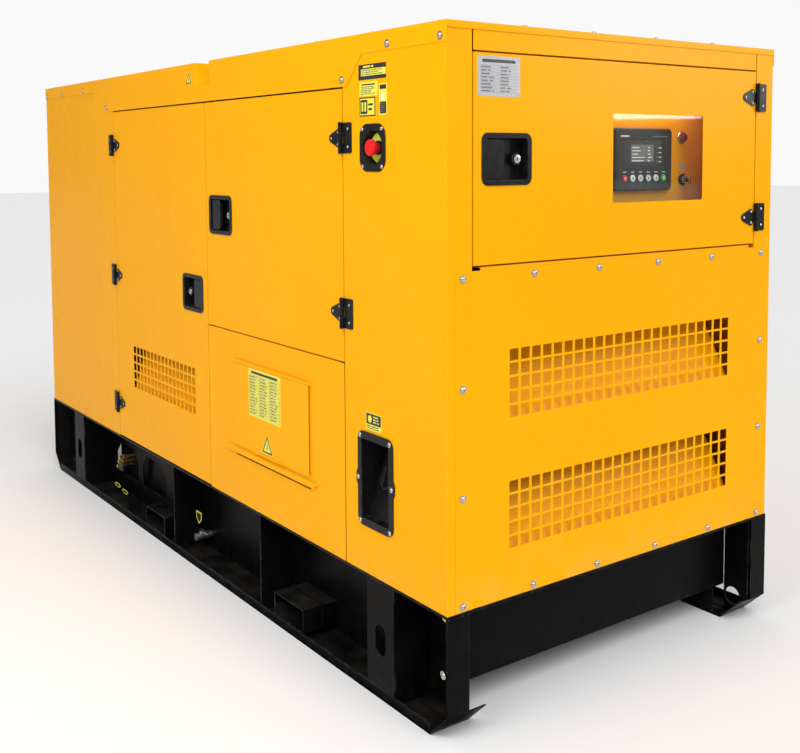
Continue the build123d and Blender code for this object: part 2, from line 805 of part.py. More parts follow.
def hinge_places():
    """Wall placer, seam, heights and flip of each door's hinges."""
    service = run(service_end_run)
    output = run(front_corner_run)
    control = half_w - post_lap
    return {
        "service_left": (on_left, service, service_hinges, False),
        "service_right": (on_right, service, service_hinges, False),
        "output_left": (on_left, output, output_hinges, True),
        "output_right": (on_right, output, output_hinges, True),
        "control": (on_front, control, control_hinges, True),
    }


def hinge_leaves():
    pieces = []
    for wall, u, heights, flip in hinge_places().values():
        pieces += [wall(piece) for piece in hinge_set(hinge_fixed, u, heights, flip)]
    return pieces


# ---------------------------------------------------------------- latches
def latch_cup():
    """Bezel and cup of a flush paddle latch, the lock on its +X side."""
    bezel = raised(RectangleRounded(bezel_w, bezel_h, 18), 0, 0, 0, -bezel_proud)
    cup = raised(RectangleRounded(cup_w + 2 * cup_wall, cup_h + 2 * cup_wall, 12), 0, 0, cup_depth + cup_wall, 0)
    body = bezel + cup
    body = body - raised(RectangleRounded(cup_w, cup_h, cup_corner), 0, 0, cup_depth, -bezel_proud - 1)
    body += rod("y", cup_w / 2 - 24, 0, 14, 9, cup_depth)
    pivot = paddle_axis()
    body -= rod("z", pivot[0], pivot[1], paddle_pin_r + pin_clearance, -cup_h / 2 - 2.6, cup_h / 2 + 2.6)
    return body


def paddle_axis():
    """Place of the paddle's pivot in its cup, along the wall and inwards."""
    return (-cup_w / 2 + 6, 4.0)


def latch_paddle():
    """Pull paddle with its two pivot pins and a finger step."""
    u, y = paddle_axis()
    half = cup_h / 2 - 2.5
    leaf_plate = block(u - 3.5, u - 3.5 + paddle_w, 1, 7, -half, half)
    leaf_plate = fillet(leaf_plate.edges().filter_by(Axis.Y).group_by(Axis.X)[-1], 9)
    rim = block(u + paddle_w - 10, u + paddle_w - 3.5, 7, 11, -half + 12, half - 12)
    pins = rod("z", u, y, paddle_pin_r, -cup_h / 2 - 2, cup_h / 2 + 2)
    return leaf_plate + rim + pins


def latch_places():
    """Wall placer, place and flip of each door's latch; flip puts the lock on the -X side."""
    return {
        "service_left": (on_left, run(service_latch[0]), service_latch[1], True),
        "service_right": (on_right, run(service_latch[0]), service_latch[1], True),
        "output_left": (on_left, run(output_latch[0]), output_latch[1], False),
        "output_right": (on_right, run(output_latch[0]), output_latch[1], False),
        "control": (on_front, control_latch[0], control_latch[1], False),
    }


def latch_piece(door, shape):
    wall, u, z, flip = latch_places()[door]
    turned = mirror(shape, about=Plane.YZ) if flip else shape
    return wall(Pos(u, 0, z) * turned)


# ---------------------------------------------------------------- doors
def door_tray(u0, u1, z0, z1):
    tray = block(u0, u1, 0, door_depth, z0, z1)
    return tray - block(u0 + sheet, u1 - sheet, sheet, door_depth + 1, z0 + sheet, z1 - sheet)


def latch_cut(u, z):
    w = cup_w + 2 * cup_wall + 1
    h = cup_h + 2 * cup_wall + 1
    return raised(RectangleRounded(w, h, 12), u, z, 5, -5)


def service_door():
    """Full-height door with its grille and the baffle welded behind it."""
    u0 = run(service_end_run) + seam / 2
    u1 = run(door_split_run) - seam / 2
    z0 = skid_height + seam
    z1 = height - roof_deep - seam
    wires = square_grid(side_columns, grille_rows, side_pitch_u, side_pitch_z, side_hole,
                        run(side_grille_run), side_grille_z)
    face = perforated(rectangle_points(u0, u1, z0, z1), wires, sheet)
    frame = block(u0, u1, sheet, door_depth, z0, z1)
    frame -= block(u0 + sheet, u1 - sheet, 0, door_depth + 1, z0 + sheet, z1 - sheet)
    door = face + frame - latch_cut(run(service_latch[0]), service_latch[1])
    half_u = side_columns * side_pitch_u / 2 + 6
    slope = baffle(run(side_grille_run) - half_u, run(side_grille_run) + half_u, side_grille_z,
                   grille_rows * side_pitch_z / 2, 60.0)
    return [door, slope]


def output_door():
    u0 = run(door_split_run) + seam / 2
    u1 = run(front_corner_run) - seam / 2
    door = door_tray(u0, u1, lower_panel_top + seam / 2, height - roof_deep - seam)
    return [door - latch_cut(run(output_latch[0]), output_latch[1])]


def control_door():
    half = half_w - post_lap - seam / 2
    door = door_tray(-half, half, control_door_bottom + seam / 2, control_door_top - seam / 2)
    w = window_u[1] - window_u[0]
    h = window_z[1] - window_z[0]
    cut = raised(RectangleRounded(w, h, 6), sum(window_u) / 2, sum(window_z) / 2, 5, -5)
    return [on_front(door - cut - latch_cut(*control_latch))]


def window_pane():
    glass = block(window_u[0] - window_lap, window_u[1] + window_lap, sheet, sheet + pane,
                  window_z[0] - window_lap, window_z[1] + window_lap)
    return [on_front(glass)]


# ---------------------------------------------------------------- emergency stop and filler
def estop_bezel():
    """Oval bezel with a round bowl; the button's collar stands on the bowl's floor."""
    outline = Circle(stop_round) & RectangleRounded(stop_w, stop_h, stop_corner)
    ring = raised(outline, 0, 0, 0, -3)
    bowl = rod("y", 0, 0, stop_bowl_r + filler_wall, 0, stop_bowl)
    body = ring + bowl - rod("y", 0, 0, stop_bowl_r, -4, stop_bowl - 3)
    body += rod("y", 0, 0, 17, stop_bowl - 9, stop_bowl)
    body -= rod("y", 0, 0, stop_stem_r + pin_clearance, stop_bowl - 10, stop_bowl + 1)
    return [on_left(Pos(run(stop_run), 0, stop_z) * body)]


def estop_button():
    head = rod("y", 0, 0, stop_head_r, -13, -1)
    head = fillet(head.edges().sort_by(Axis.Y)[0], 4)
    stem = rod("y", 0, 0, stop_stem_r, -1, stop_bowl + 8)
    return [on_left(Pos(run(stop_run), 0, stop_z) * (head + stem))]


def filler_box():
    """Moulded recess with a sloped back that carries the filler neck."""
    flange_outline = RectangleRounded(filler_w, filler_h, 22) + RectangleRounded(filler_w + 12, 52, 20)
    flange = raised(flange_outline, 0, 0, 0, -4)
    half = filler_open_h / 2
    wall = filler_wall
    shell = prism("x", [(0, -half - wall), (filler_shallow + wall, -half - wall),
                        (filler_deep + wall, half + wall), (0, half + wall)],
                  -filler_open_w / 2 - wall, filler_open_w / 2 + wall)
    cavity = prism("x", [(-5, -half), (filler_shallow, -half), (filler_deep, half), (-5, half)],
                   -filler_open_w / 2, filler_open_w / 2)
    x, y, z = filler_mouth()
    body = on_left(Pos(x, 0, z) * (flange + shell - cavity))
    ny, nz = filler_normal()
    mouth = Plane(origin=(x, y, z), z_dir=(0, ny, nz))
    body -= mouth.location * Cylinder(neck_r + 0.5, 60)
    return [body]


def filler_cap():
    """Round cap with a grip bar, turned about the neck's axis."""
    x, y, z = filler_mouth()
    ny, nz = filler_normal()
    mouth = Plane(origin=(x, y, z), z_dir=(0, ny, nz))
    cap = Pos(0, 0, 1 + cap_t / 2) * Cylinder(cap_r, cap_t)
    cap = fillet(cap.edges().sort_by(Axis.Z)[-1], 4)
    grip = Pos(0, 0, cap_t + 5) * Box(2 * cap_r - 16, 10, 10)
    plug = Pos(0, 0, -1.4) * Cylinder(neck_r - 1, 4.8)
    return [mouth.location * (cap + grip + plug)]


# ---------------------------------------------------------------- controls
def control_panel():
    """Cabinet behind the control door with its yellow front, lamp and key switch barrel."""
    low, high = panel_z
    cabinet = block(panel_face - panel_depth, panel_face, -panel_half, panel_half, low, high)
    cabinet -= block(panel_face - panel_depth + sheet, panel_face - sheet, -panel_half + sheet,
                     panel_half - sheet, low + sheet, high - sheet)
    for y in (-panel_half + 15, panel_half - 15):
        cabinet += block(panel_face - 60, panel_face - 20, y - 15, y + 15, high, control_top_bar())
    lamp = rod("x", lamp_yz[0], lamp_yz[1], 14, panel_face, panel_face + 4)
    lamp += rod("x", lamp_yz[0], lamp_yz[1], 11, panel_face + 4, panel_face + 13)
    barrel = rod("x", key_yz[0], key_yz[1], 15, panel_face, panel_face + 6)
    barrel -= rod("x", key_yz[0], key_yz[1], 5 + pin_clearance, panel_face + 1, panel_face + 7)
    return [cabinet, lamp, barrel]


def control_top_bar():
    """Height of the roof sheet's underside, where the cabinet hangs."""
    return height - sheet


def controller():
    """Controller body with a sunken screen and a ring for each button."""
    y, z = controller_yz
    front = panel_face + controller_t
    body = extrude(Plane(origin=(panel_face, y, z), x_dir=(0, 1, 0), z_dir=(1, 0, 0))
                   * RectangleRounded(controller_w, controller_h, 12), amount=controller_t)
    body = chamfer(body.faces().sort_by(Axis.X)[-1].edges(), 3)
    body -= block(front - 3, front + 1, y - 72, y + 72, z - 16, z + 52)
    for centre in button_places():
        body -= rod("x", centre, z - button_drop, button_r + 0.3, front - 6, front + 1)
    return [body]


def button_places():
    first = controller_yz[0] - button_pitch * (button_count - 1) / 2
    return [first + index * button_pitch for index in range(button_count)]


def controller_button(index):
    front = panel_face + controller_t
    y = button_places()[index]
    z = controller_yz[1] - button_drop
    cap = rod("x", y, z, button_r, front - 4, front + 2)
    return [fillet(cap.edges().sort_by(Axis.X)[-1], 1)]


def key_switch():
    """Rotary key: short stem in the barrel and a flat bow."""
    y, z = key_yz
    stem = rod("x", y, z, 5, panel_face + 1.5, panel_face + 12)
    collar = rod("x", y, z, 11, panel_face + 6.5, panel_face + 12)
    bow = block(panel_face + 12, panel_face + 30, y - 2, y + 2, z - 11, z + 11)
    bow = fillet(bow.edges().filter_by(Axis.Y), 5)
    return [stem + collar + bow]


def breaker():
    """Main breaker on its mounting plate, facing the cable window."""
    x = sum(flap_x) / 2
    plate_y = -half_w + rail_depth - 12
    mounting = block(x - 150, x + 150, plate_y, plate_y + 4, skid_height, 900)
    body = block(x - 90, x + 90, plate_y - 72, plate_y, 500, 690)
    body -= block(x - 26, x + 26, plate_y - 73, plate_y - 46, 565, 625)
    return [mounting, body]


def breaker_handle():
    x = sum(flap_x) / 2
    plate_y = -half_w + rail_depth - 12
    pivot_y = plate_y - 54
    drum = rod("x", pivot_y, 595, 5, x - 25, x + 25)
    grip = block(x - 9, x + 9, pivot_y - 28, pivot_y, 588, 602)
    return [drum + grip]


# ---------------------------------------------------------------- engine and generator
def engine_block():
    """Hollow block with side ribs, flywheel housing and feet; the crank bores stand in its end walls."""
    x0, x1 = engine_x
    half = engine_half
    low = crank_z - crankcase_drop
    wall = engine_wall
    body = block(x0, x1, -half, half, low, deck_z)
    body = chamfer(body.edges().filter_by(Axis.X), 30)
    rib_pitch = (x1 - x0 - 140) / (engine_ribs - 1)
    for index in range(engine_ribs):
        x = x0 + 70 + index * rib_pitch
        body += block(x - 10, x + 10, -half - 14, half + 14, low + 40, deck_z - 60)
    inner = half - wall - 14
    body -= block(x0 + wall, x1 - wall, -inner, inner, low - 1, deck_z - 2 * wall)
    body += rod("x", 0, crank_z, bell_r, x1, alternator_x[0])
    body -= rod("x", 0, crank_z, bell_r - bell_wall, x1 + 12, alternator_x[0] + 1)
    body -= rod("x", 0, crank_z, crank_r + bearing_clearance, x0 - 1, x1 + flywheel_gap)
    foot_z = skid_height + mount_h
    for side in (-1, 1):
        reach = mount_y + 45
        y0, y1 = sorted((side * (half - 30), side * reach))
        body += block(bearers_x[1] - 45, bearers_x[1] + 45, y0, y1, foot_z, foot_z + 12)
        y0, y1 = sorted((side * (half - 30), side * (half - 18)))
        body += block(bearers_x[1] - 45, bearers_x[1] + 45, y0, y1, foot_z, low + 60)
    return body + rod("x", 0, fan_z, stub_r, x0 - pulley_gap - pulley_t - 4, x0)


def oil_pan():
    x0, x1 = engine_x
    top = crank_z - crankcase_drop
    pan = block(x0 + 20, x1 - 20, -head_half, head_half, top - pan_h, top)
    pan = fillet(pan.edges().filter_by(Axis.Z), 30)
    lip = 20 + cover_wall
    return pan - block(x0 + lip, x1 - lip, -head_half + 30, head_half - 30, top - pan_h + cover_wall, top + 1)


def cylinder_head():
    """Head with the hollow rocker cover, cover bolts and oil cap."""
    x0, x1 = engine_x
    head_top = deck_z + head_h
    cover_top = head_top + rocker_h
    head = block(x0 + 15, x1 - 15, -head_half, head_half, deck_z, head_top)
    cover = block(x0 + 35, x1 - 35, -rocker_half, rocker_half, head_top, cover_top)
    cover = fillet(cover.edges().filter_by(Axis.Z), 30)
    cover = fillet(cover.faces().sort_by(Axis.Z)[-1].edges(), 18)
    cover -= block(x0 + 65, x1 - 65, -rocker_half + 30, rocker_half - 30, head_top, cover_top - 20)
    body = head + cover
    bolt_pitch = (x1 - x0 - 160) / (engine_ribs - 1)
    for index in range(engine_ribs):
        body += rod("z", x0 + 80 + index * bolt_pitch, head_half - 20, 12, head_top, head_top + 30)
    return body + rod("z", x0 + 90, 0, 28, cover_top - 10, cover_top + 20)


def alternator():
    """Generator housing with cooling slots, end bracket, feet and terminal box."""
    x0, x1 = alternator_x
    shell = rod("x", 0, crank_z, alternator_r, x0, x1) - rod("x", 0, crank_z, alternator_r - 12, x0 - 1, x1 - 30)
    shell -= rod("x", 0, crank_z, shaft_r + bearing_clearance, x1 - 40, x1 + 1)
    for index in range(10):
        angle = 30 + index * 13.3
        slot = Pos(x1 - 90, 0, 0) * Box(70, 14, 60)
        turned = Pos(0, 0, crank_z) * Rot(angle + 90, 0, 0) * Pos(0, 0, alternator_r) * slot
        shell -= turned
    foot_z = skid_height + mount_h
    for side in (-1, 1):
        y0, y1 = sorted((side * 150, side * (mount_y + 45)))
        shell += block(bearers_x[2] - 60, bearers_x[2] + 60, y0, y1, foot_z, foot_z + 14)
        y0, y1 = sorted((side * 150, side * 162))
        shell += block(bearers_x[2] - 60, bearers_x[2] + 60, y0, y1, foot_z, crank_z - 160)
    box = block(x0 + 130, x1 - 130, -150, 150, crank_z + alternator_r - 35, crank_z + alternator_r + 110)
    box = fillet(box.edges().filter_by(Axis.Z), 15)
    bored = rod("x", 0, crank_z, alternator_r - 6, x0, x1)
    return [shell + (box - bored)]


def pulley_groove(z, radius):
    """Ring to cut from a pulley of this radius."""
    middle = engine_x[0] - pulley_gap - pulley_t / 2
    ring = rod("x", 0, z, radius + 1, middle - groove_t / 2, middle + groove_t / 2)
    return ring - rod("x", 0, z, radius - groove_depth, middle - groove_t, middle + groove_t)


def crank_train():
    """Crankshaft, pulley, flywheel and generator rotor turning as one."""
    x0, x1 = engine_x
    a0, a1 = alternator_x
    flywheel_x = x1 + flywheel_gap
    coupling_x = flywheel_x + flywheel_t
    train = rod("x", 0, crank_z, crank_r, x0 - 30, flywheel_x)
    train += rod("x", 0, crank_z, crank_pulley_r, x0 - pulley_gap - pulley_t, x0 - pulley_gap)
    train -= pulley_groove(crank_z, crank_pulley_r)
    train += rod("x", 0, crank_z, flywheel_r, flywheel_x, coupling_x)
    train += rod("x", 0, crank_z, 60, coupling_x, a0 + 60)
    train += rod("x", 0, crank_z, rotor_r, a0 + 60, a1 - 110)
    train += rod("x", 0, crank_z, shaft_r, a1 - 110, a1 + 15)
    return [train]


def fan():
    """Hub, pulley and eight pitched blades on the engine's front stub."""
    x0 = engine_x[0]
    hub = rod("x", 0, fan_z, 60, fan_x - 20, x0 - pulley_gap)
    hub += rod("x", 0, fan_z, fan_pulley_r, x0 - pulley_gap - pulley_t, x0 - pulley_gap)
    hub -= pulley_groove(fan_z, fan_pulley_r)
    hub -= rod("x", 0, fan_z, stub_r + bearing_clearance, x0 - pulley_gap - pulley_t - 4, x0 - pulley_gap + 1)
    for index in range(8):
        blade = Pos(0, 0, 55 + (fan_r - 55) / 2) * Rot(0, 0, 32) * Box(6, 95, fan_r - 55)
        hub += Pos(fan_x, 0, fan_z) * Rot(index * 45, 0, 0) * blade
    return [hub]


def fan_belt():
    """V-belt round the crank and fan pulleys."""
    x = engine_x[0] - pulley_gap - pulley_t / 2
    low_r = crank_pulley_r - groove_depth
    high_r = fan_pulley_r - groove_depth
    thick = 8.0
    gap = fan_z - crank_z
    slope = math.asin((high_r - low_r) / gap)

    def loop(extra, width_x):
        lower = low_r + extra
        upper = high_r + extra
        shape = rod("x", 0, crank_z, lower, x - width_x / 2, x + width_x / 2)
        shape += rod("x", 0, fan_z, upper, x - width_x / 2, x + width_x / 2)
        across = [(lower * math.cos(slope), crank_z - lower * math.sin(slope)),
                  (upper * math.cos(slope), fan_z - upper * math.sin(slope)),
                  (-upper * math.cos(slope), fan_z - upper * math.sin(slope)),
                  (-lower * math.cos(slope), crank_z - lower * math.sin(slope))]
        return shape + prism("x", across, x - width_x / 2, x + width_x / 2)

    gap_to_pulley = 0.3
    return [loop(thick, 9.0) - loop(gap_to_pulley, 11.0)]


def radiator():
    """Core between two hollow tanks in a frame, and the shroud that rings the fan."""
    x0, x1 = radiator_x
    low, high = radiator_z
    half = radiator_half
    middle = (x0 + x1) / 2
    core_low = low + radiator_tank_h
    core_high = high - radiator_tank_h
    body = block(middle - core_t / 2, middle + core_t / 2, -half + radiator_side, half - radiator_side,
                 core_low, core_high)
    wall = cover_wall
    for z0, z1 in ((low, core_low), (core_high, high)):
        body += block(x0, x1, -half, half, z0, z1)
        body -= block(x0 + wall, x1 - wall, -half + wall, half - wall, z0 + wall, z1 - wall)
    body += block(x0, x1, -half, -half + radiator_side, core_low, core_high)
    body += block(x0, x1, half - radiator_side, half, core_low, core_high)
    body += rod("z", middle, 0, 30, high, high + 22)
    opening = fan_r + 15
    shroud = block(x1, fan_x - 45, -half, half, fan_z - opening - 30, fan_z + opening + 30)
    shroud -= block(x1 - 1, fan_x - 47, -half + 2, half - 2, fan_z - opening - 28, fan_z + opening + 28)
    shroud -= rod("x", 0, fan_z, opening, x1, fan_x)
    ring = rod("x", 0, fan_z, opening + 2, fan_x - 47, fan_x + 30) - rod("x", 0, fan_z, opening, x1, fan_x + 31)
    return [body, shroud + ring]


def exhaust():
    """Hollow silencer across the outlet end, hung from the roof, with the engine pipe and tail pipe."""
    x = silencer_x
    z = silencer_z
    top = height - sheet
    silencer = rod("y", x, z, silencer_r, -silencer_half, silencer_half)
    silencer = fillet(silencer.edges(), 25)
    silencer -= rod("y", x, z, silencer_r - 8, -silencer_half + 30, silencer_half - 30)
    band_r = silencer_r + 4
    for y in (-220, 220):
        band = rod("y", x, z, band_r, y - 20, y + 20) - rod("y", x, z, silencer_r - 1, y - 21, y + 21)
        strap = block(x - 8, x + 8, y - 20, y + 20, z + silencer_r - 4, top)
        silencer += band + strap
    bend_z = z - 80.0
    flange_z = deck_z + 80.0
    pipe_y = -200.0
    flange_x = -420.0
    bends = [x + (flange_x - x) * share for share in (0.41, 0.71)]
    riser = FilletPolyline((x, pipe_y, z), (bends[0], pipe_y, z), (bends[1], pipe_y, bend_z),
                           (flange_x, pipe_y, bend_z), (flange_x, pipe_y, flange_z), radius=60)
    section = Plane(origin=(x, pipe_y, z), z_dir=(1, 0, 0)) * Circle(exhaust_pipe_r)
    silencer += sweep(section, path=riser)
    manifold = block(-500, 140, -engine_half - 12, -head_half, deck_z + 5, flange_z)
    tail = rod("x", 120, z, exhaust_pipe_r + 4, x - 250, x)
    tail -= rod("x", 120, z, exhaust_pipe_r, x - 251, x - 60)
    return [silencer + manifold + tail]


def air_cleaner():
    body = rod("x", 60, 1300, 100, -330, 40)
    body = fillet(body.edges(), 12)
    body += rod("x", 60, 1300, 106, -150, -130)
    cover_top = deck_z + head_h + rocker_h
    pipe = rod("z", -60, 60, 38, cover_top, 1240)
    bracket = block(-260, -240, 20, 100, cover_top, 1215)
    return [body + pipe + bracket]


def battery():
    """Starter battery with posts on its tray."""
    x0, x1 = half_l - 445.0, half_l - 165.0
    y0, y1 = 312.0, 452.0
    base = skid_height + 4
    tray = block(x0 - 10, x1 + 10, y0 - 10, half_w - rail_depth + 5, skid_height, base)
    case = block(x0, x1, y0, y1, base, base + 190)
    case = fillet(case.edges().filter_by(Axis.Z), 6)
    lid = block(x0 + 4, x1 - 4, y0 + 4, y1 - 4, base + 190, base + 206)
    posts = rod("z", x0 + 30, y0 + 30, 9, base + 206, base + 224) + rod("z", x0 + 30, y1 - 30, 9, base + 206, base + 224)
    return [tray, case + lid + posts]


def rubber_mounts():
    pieces = []
    for x in (bearers_x[1], bearers_x[2]):
        for y in (-mount_y, mount_y):
            body = rod("z", x, y, mount_r, skid_height, skid_height + mount_h)
            body -= rod("z", x, y, mount_r + 1, skid_height + 14, skid_height + mount_h - 14) - rod(
                "z", x, y, mount_r - 6, skid_height, skid_height + mount_h)
            pieces.append(body)
    return pieces


# ---------------------------------------------------------------- all nodes
def left_and_right(shapes):
    return [on_left(shape) for shape in shapes], [on_right(shape) for shape in shapes]


def all_nodes():
    left_rail = rail_left()
    nodes = {
        "rail_left": left_rail,
        "rail_right": other_side(left_rail),
        "rail_webs": [rail_web()] + other_side([rail_web()]),
        "cross_members": cross_members(),
        "fork_pockets": fork_pockets(),
        "fuel_tank": fuel_tank(),
        "filler_box": filler_box(),
        "filler_cap": filler_cap(),
        "drain_fittings": drain_fittings(),
        "drain_valve_lever": drain_valve_lever(),
        "front_corner_left": front_corner_left(),
        "plain_corners": plain_corners(),
        "lower_panels": [on_left(lower_panel(True)), on_right(lower_panel(False))],
        "cable_flap": cable_flap(),
        "front_frame": front_frame(),
        "front_grille_panel": front_grille_panel(),
        "rear_panel": rear_panel(),
        "roof": roof(),
        "lifting_frame": lifting_frame(),
        "canopy_bolts": canopy_bolts(),
        "hinge_leaves": hinge_leaves(),
        "estop_bezel": estop_bezel(),
        "estop_button": estop_button(),
        "control_panel": control_panel(),
        "controller": controller(),
        "key_switch": key_switch(),
        "breaker": breaker(),
        "breaker_handle": breaker_handle(),
        "engine": [engine_block(), oil_pan(), cylinder_head()],
        "alternator": alternator(),
        "crank_train": crank_train(),
        "fan": fan(),
        "fan_belt": fan_belt(),
        "radiator": radiator(),
        "exhaust": exhaust(),
        "air_cleaner": air_cleaner(),
        "battery": battery(),
        "rubber_mounts": rubber_mounts(),
        "window_pane": window_pane(),
    }
    for index in range(button_count):
        nodes["controller_button_" + str(index + 1)] = controller_button(index)
    service = left_and_right(service_door())
    output = left_and_right(output_door())
    nodes["service_door_left"], nodes["service_door_right"] = service
    nodes["output_door_left"], nodes["output_door_right"] = output
    nodes["control_door"] = control_door()
    for door, (wall, u, heights, flip) in hinge_places().items():
        leaves = [wall(piece) for piece in hinge_set(hinge_moving, u, heights, flip)]
        nodes["fittings_" + door] = leaves + [latch_piece(door, latch_cup())]
        nodes["paddle_" + door] = [latch_piece(door, latch_paddle())]
    return nodes


def main():
    os.makedirs("parts", exist_ok=True)
    for node, shapes in all_nodes().items():
        save(node, shapes)


main()
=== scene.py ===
import json
import math
import random

import bmesh
import bpy
import numpy as np
from mathutils import Matrix, Vector


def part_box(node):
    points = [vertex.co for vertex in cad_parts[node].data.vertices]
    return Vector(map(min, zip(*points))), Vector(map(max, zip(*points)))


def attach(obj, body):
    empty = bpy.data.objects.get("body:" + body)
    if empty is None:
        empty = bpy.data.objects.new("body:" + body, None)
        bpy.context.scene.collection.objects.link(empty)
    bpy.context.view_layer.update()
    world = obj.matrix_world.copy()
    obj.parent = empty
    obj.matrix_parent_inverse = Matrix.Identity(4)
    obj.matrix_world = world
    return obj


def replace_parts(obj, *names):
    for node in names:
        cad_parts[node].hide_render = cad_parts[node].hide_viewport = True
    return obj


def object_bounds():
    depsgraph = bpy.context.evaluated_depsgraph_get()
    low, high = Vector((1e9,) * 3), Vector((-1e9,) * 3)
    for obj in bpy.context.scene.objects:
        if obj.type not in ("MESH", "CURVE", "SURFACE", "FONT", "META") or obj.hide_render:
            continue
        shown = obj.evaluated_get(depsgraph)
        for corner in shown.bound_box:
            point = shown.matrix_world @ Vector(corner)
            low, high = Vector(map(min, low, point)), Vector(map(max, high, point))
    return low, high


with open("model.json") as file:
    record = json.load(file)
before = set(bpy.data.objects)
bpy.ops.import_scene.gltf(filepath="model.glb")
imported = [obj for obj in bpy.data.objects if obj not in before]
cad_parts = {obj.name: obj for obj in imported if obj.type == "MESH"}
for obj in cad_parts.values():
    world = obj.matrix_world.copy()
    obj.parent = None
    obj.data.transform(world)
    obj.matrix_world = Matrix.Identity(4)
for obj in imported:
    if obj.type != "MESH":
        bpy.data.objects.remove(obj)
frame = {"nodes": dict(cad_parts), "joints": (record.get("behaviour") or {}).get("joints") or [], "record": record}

bl_info = {
    "name": "Silent Generator Finish",
    "version": (1, 0, 0),
    "blender": (4, 5, 0),
    "location": "3D View > Sidebar > Generator",
    "description": "Paint, fasteners, latches, labels, seals and studio for a skid-mounted generator",
    "category": "Object",
}

CAD_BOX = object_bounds()
RECORD = frame["record"]
NODE_SLOT = {row["node"]: row["material_slot"] for row in RECORD["subparts"]}
NODE_BODY = {node: body for body, nodes in RECORD["behaviour"]["bodies"].items() for node in nodes}
MM = 0.001
MERGE = 2e-6                 # vertices nearer than this are one
FLAT = math.radians(0.6)     # faces within this angle are one flat face
SHARP = math.radians(34)     # an outer corner sharper than this gets a rounded edge

# Directions of a wall as seen from outside: to the right, up, outwards.
WALLS = {
    "left": (Vector((1, 0, 0)), Vector((0, 0, 1)), Vector((0, -1, 0))),
    "right": (Vector((-1, 0, 0)), Vector((0, 0, 1)), Vector((0, 1, 0))),
    "front": (Vector((0, 1, 0)), Vector((0, 0, 1)), Vector((1, 0, 0))),
}
DOORS = {
    "service_left": "left",
    "service_right": "right",
    "output_left": "left",
    "output_right": "right",
    "control": "front",
}
LATCH_LOCK_SIDE = {"service_left": -1, "service_right": 1, "output_left": 1, "output_right": -1, "control": 1}
PIVOT_TO_MIDDLE = 0.0595     # from a paddle's pivot edge to the middle of its bezel
LOCK_REACH = 0.038           # from the middle of a bezel to its lock
HINGE_PIN = 0.006            # from the door side of a fixed leaf to the middle of its pin
HINGE_LEAF = 0.003           # thickness of a hinge leaf
PIN_REACH = 0.0047           # a hinge face nearer than this to the axis is on the pin
CABINET_LIP = 0.013          # the cabinet's plate lies this far behind its foremost point
GRILLE_TOP = 0.663           # top of the service doors' grille
PRESSED = 0.0001             # a label starts this far under the paint

# Fastener heads: washer, head and socket sizes, the socket's sides, and the seed of their turns.
HEAD_INPUTS = ("Washer Radius", "Washer Thickness", "Head Radius", "Head Height", "Socket Radius",
               "Socket Depth", "Socket Sides", "Seed")
HEADS = {
    "canopy": (0.0095, 0.0014, 0.0068, 0.0045, 0.0032, 0.0022, 6, 11),
    "hinge_fixed": (0.0036, 0.0003, 0.0034, 0.0017, 0.0014, 0.0009, 4, 21),
    "hinge_moving": (0.0036, 0.0003, 0.0034, 0.0017, 0.0014, 0.0009, 4, 22),
    "cabinet": (0.006, 0.001, 0.0045, 0.0028, 0.0019, 0.0014, 4, 31),
    "stop": (0.0052, 0.0008, 0.0048, 0.0026, 0.0020, 0.0013, 4, 41),
    "filler": (0.0065, 0.001, 0.0056, 0.0032, 0.0026, 0.0016, 6, 51),
}


# ---------------------------------------------------------------- node trees
def pick(sockets, key):
    """Socket by identifier or name."""
    for socket in sockets:
        if socket.identifier == key:
            return socket
    for socket in sockets:
        if socket.name == key and socket.enabled:
            return socket
    raise KeyError("no socket " + str(key) + " in " + str([socket.identifier for socket in sockets]))


class Flow:
    """A socket that Python arithmetic adds Math nodes to."""

    def __init__(self, graph, socket):
        self.graph = graph
        self.socket = socket

    def __add__(self, other):
        return self.graph.math("ADD", self, other)

    def __sub__(self, other):
        return self.graph.math("SUBTRACT", self, other)

    def __rsub__(self, other):
        return self.graph.math("SUBTRACT", other, self)

    def __mul__(self, other):
        return self.graph.math("MULTIPLY", self, other)

    def __truediv__(self, other):
        return self.graph.math("DIVIDE", self, other)

    def __pow__(self, other):
        return self.graph.math("POWER", self, other)

    __radd__ = __add__
    __rmul__ = __mul__


class Graph:
    """A node tree, added to one node at a time."""

    def __init__(self, tree):
        self.tree = tree

    def add(self, kind, settings=None, values=None, output=None):
        """Add a node: its settings first, then the values or links of its sockets."""
        node = self.tree.nodes.new(kind)
        for key, value in (settings or {}).items():
            setattr(node, key, value)
        for key, value in (values or {}).items():
            socket = pick(node.inputs, key)
            for item in value if isinstance(value, list) else [value]:
                if isinstance(item, Flow):
                    self.tree.links.new(item.socket, socket)
                else:
                    socket.default_value = item
        if not node.outputs:
            return None
        return Flow(self, pick(node.outputs, output) if output else node.outputs[0])

    def math(self, operation, first, second=0.0):
        node = self.add("ShaderNodeMath", {"operation": operation}, None, "Value")
        for socket, value in zip(node.socket.node.inputs, (first, second)):
            if isinstance(value, Flow):
                self.tree.links.new(value.socket, socket)
            else:
                socket.default_value = value
        return node


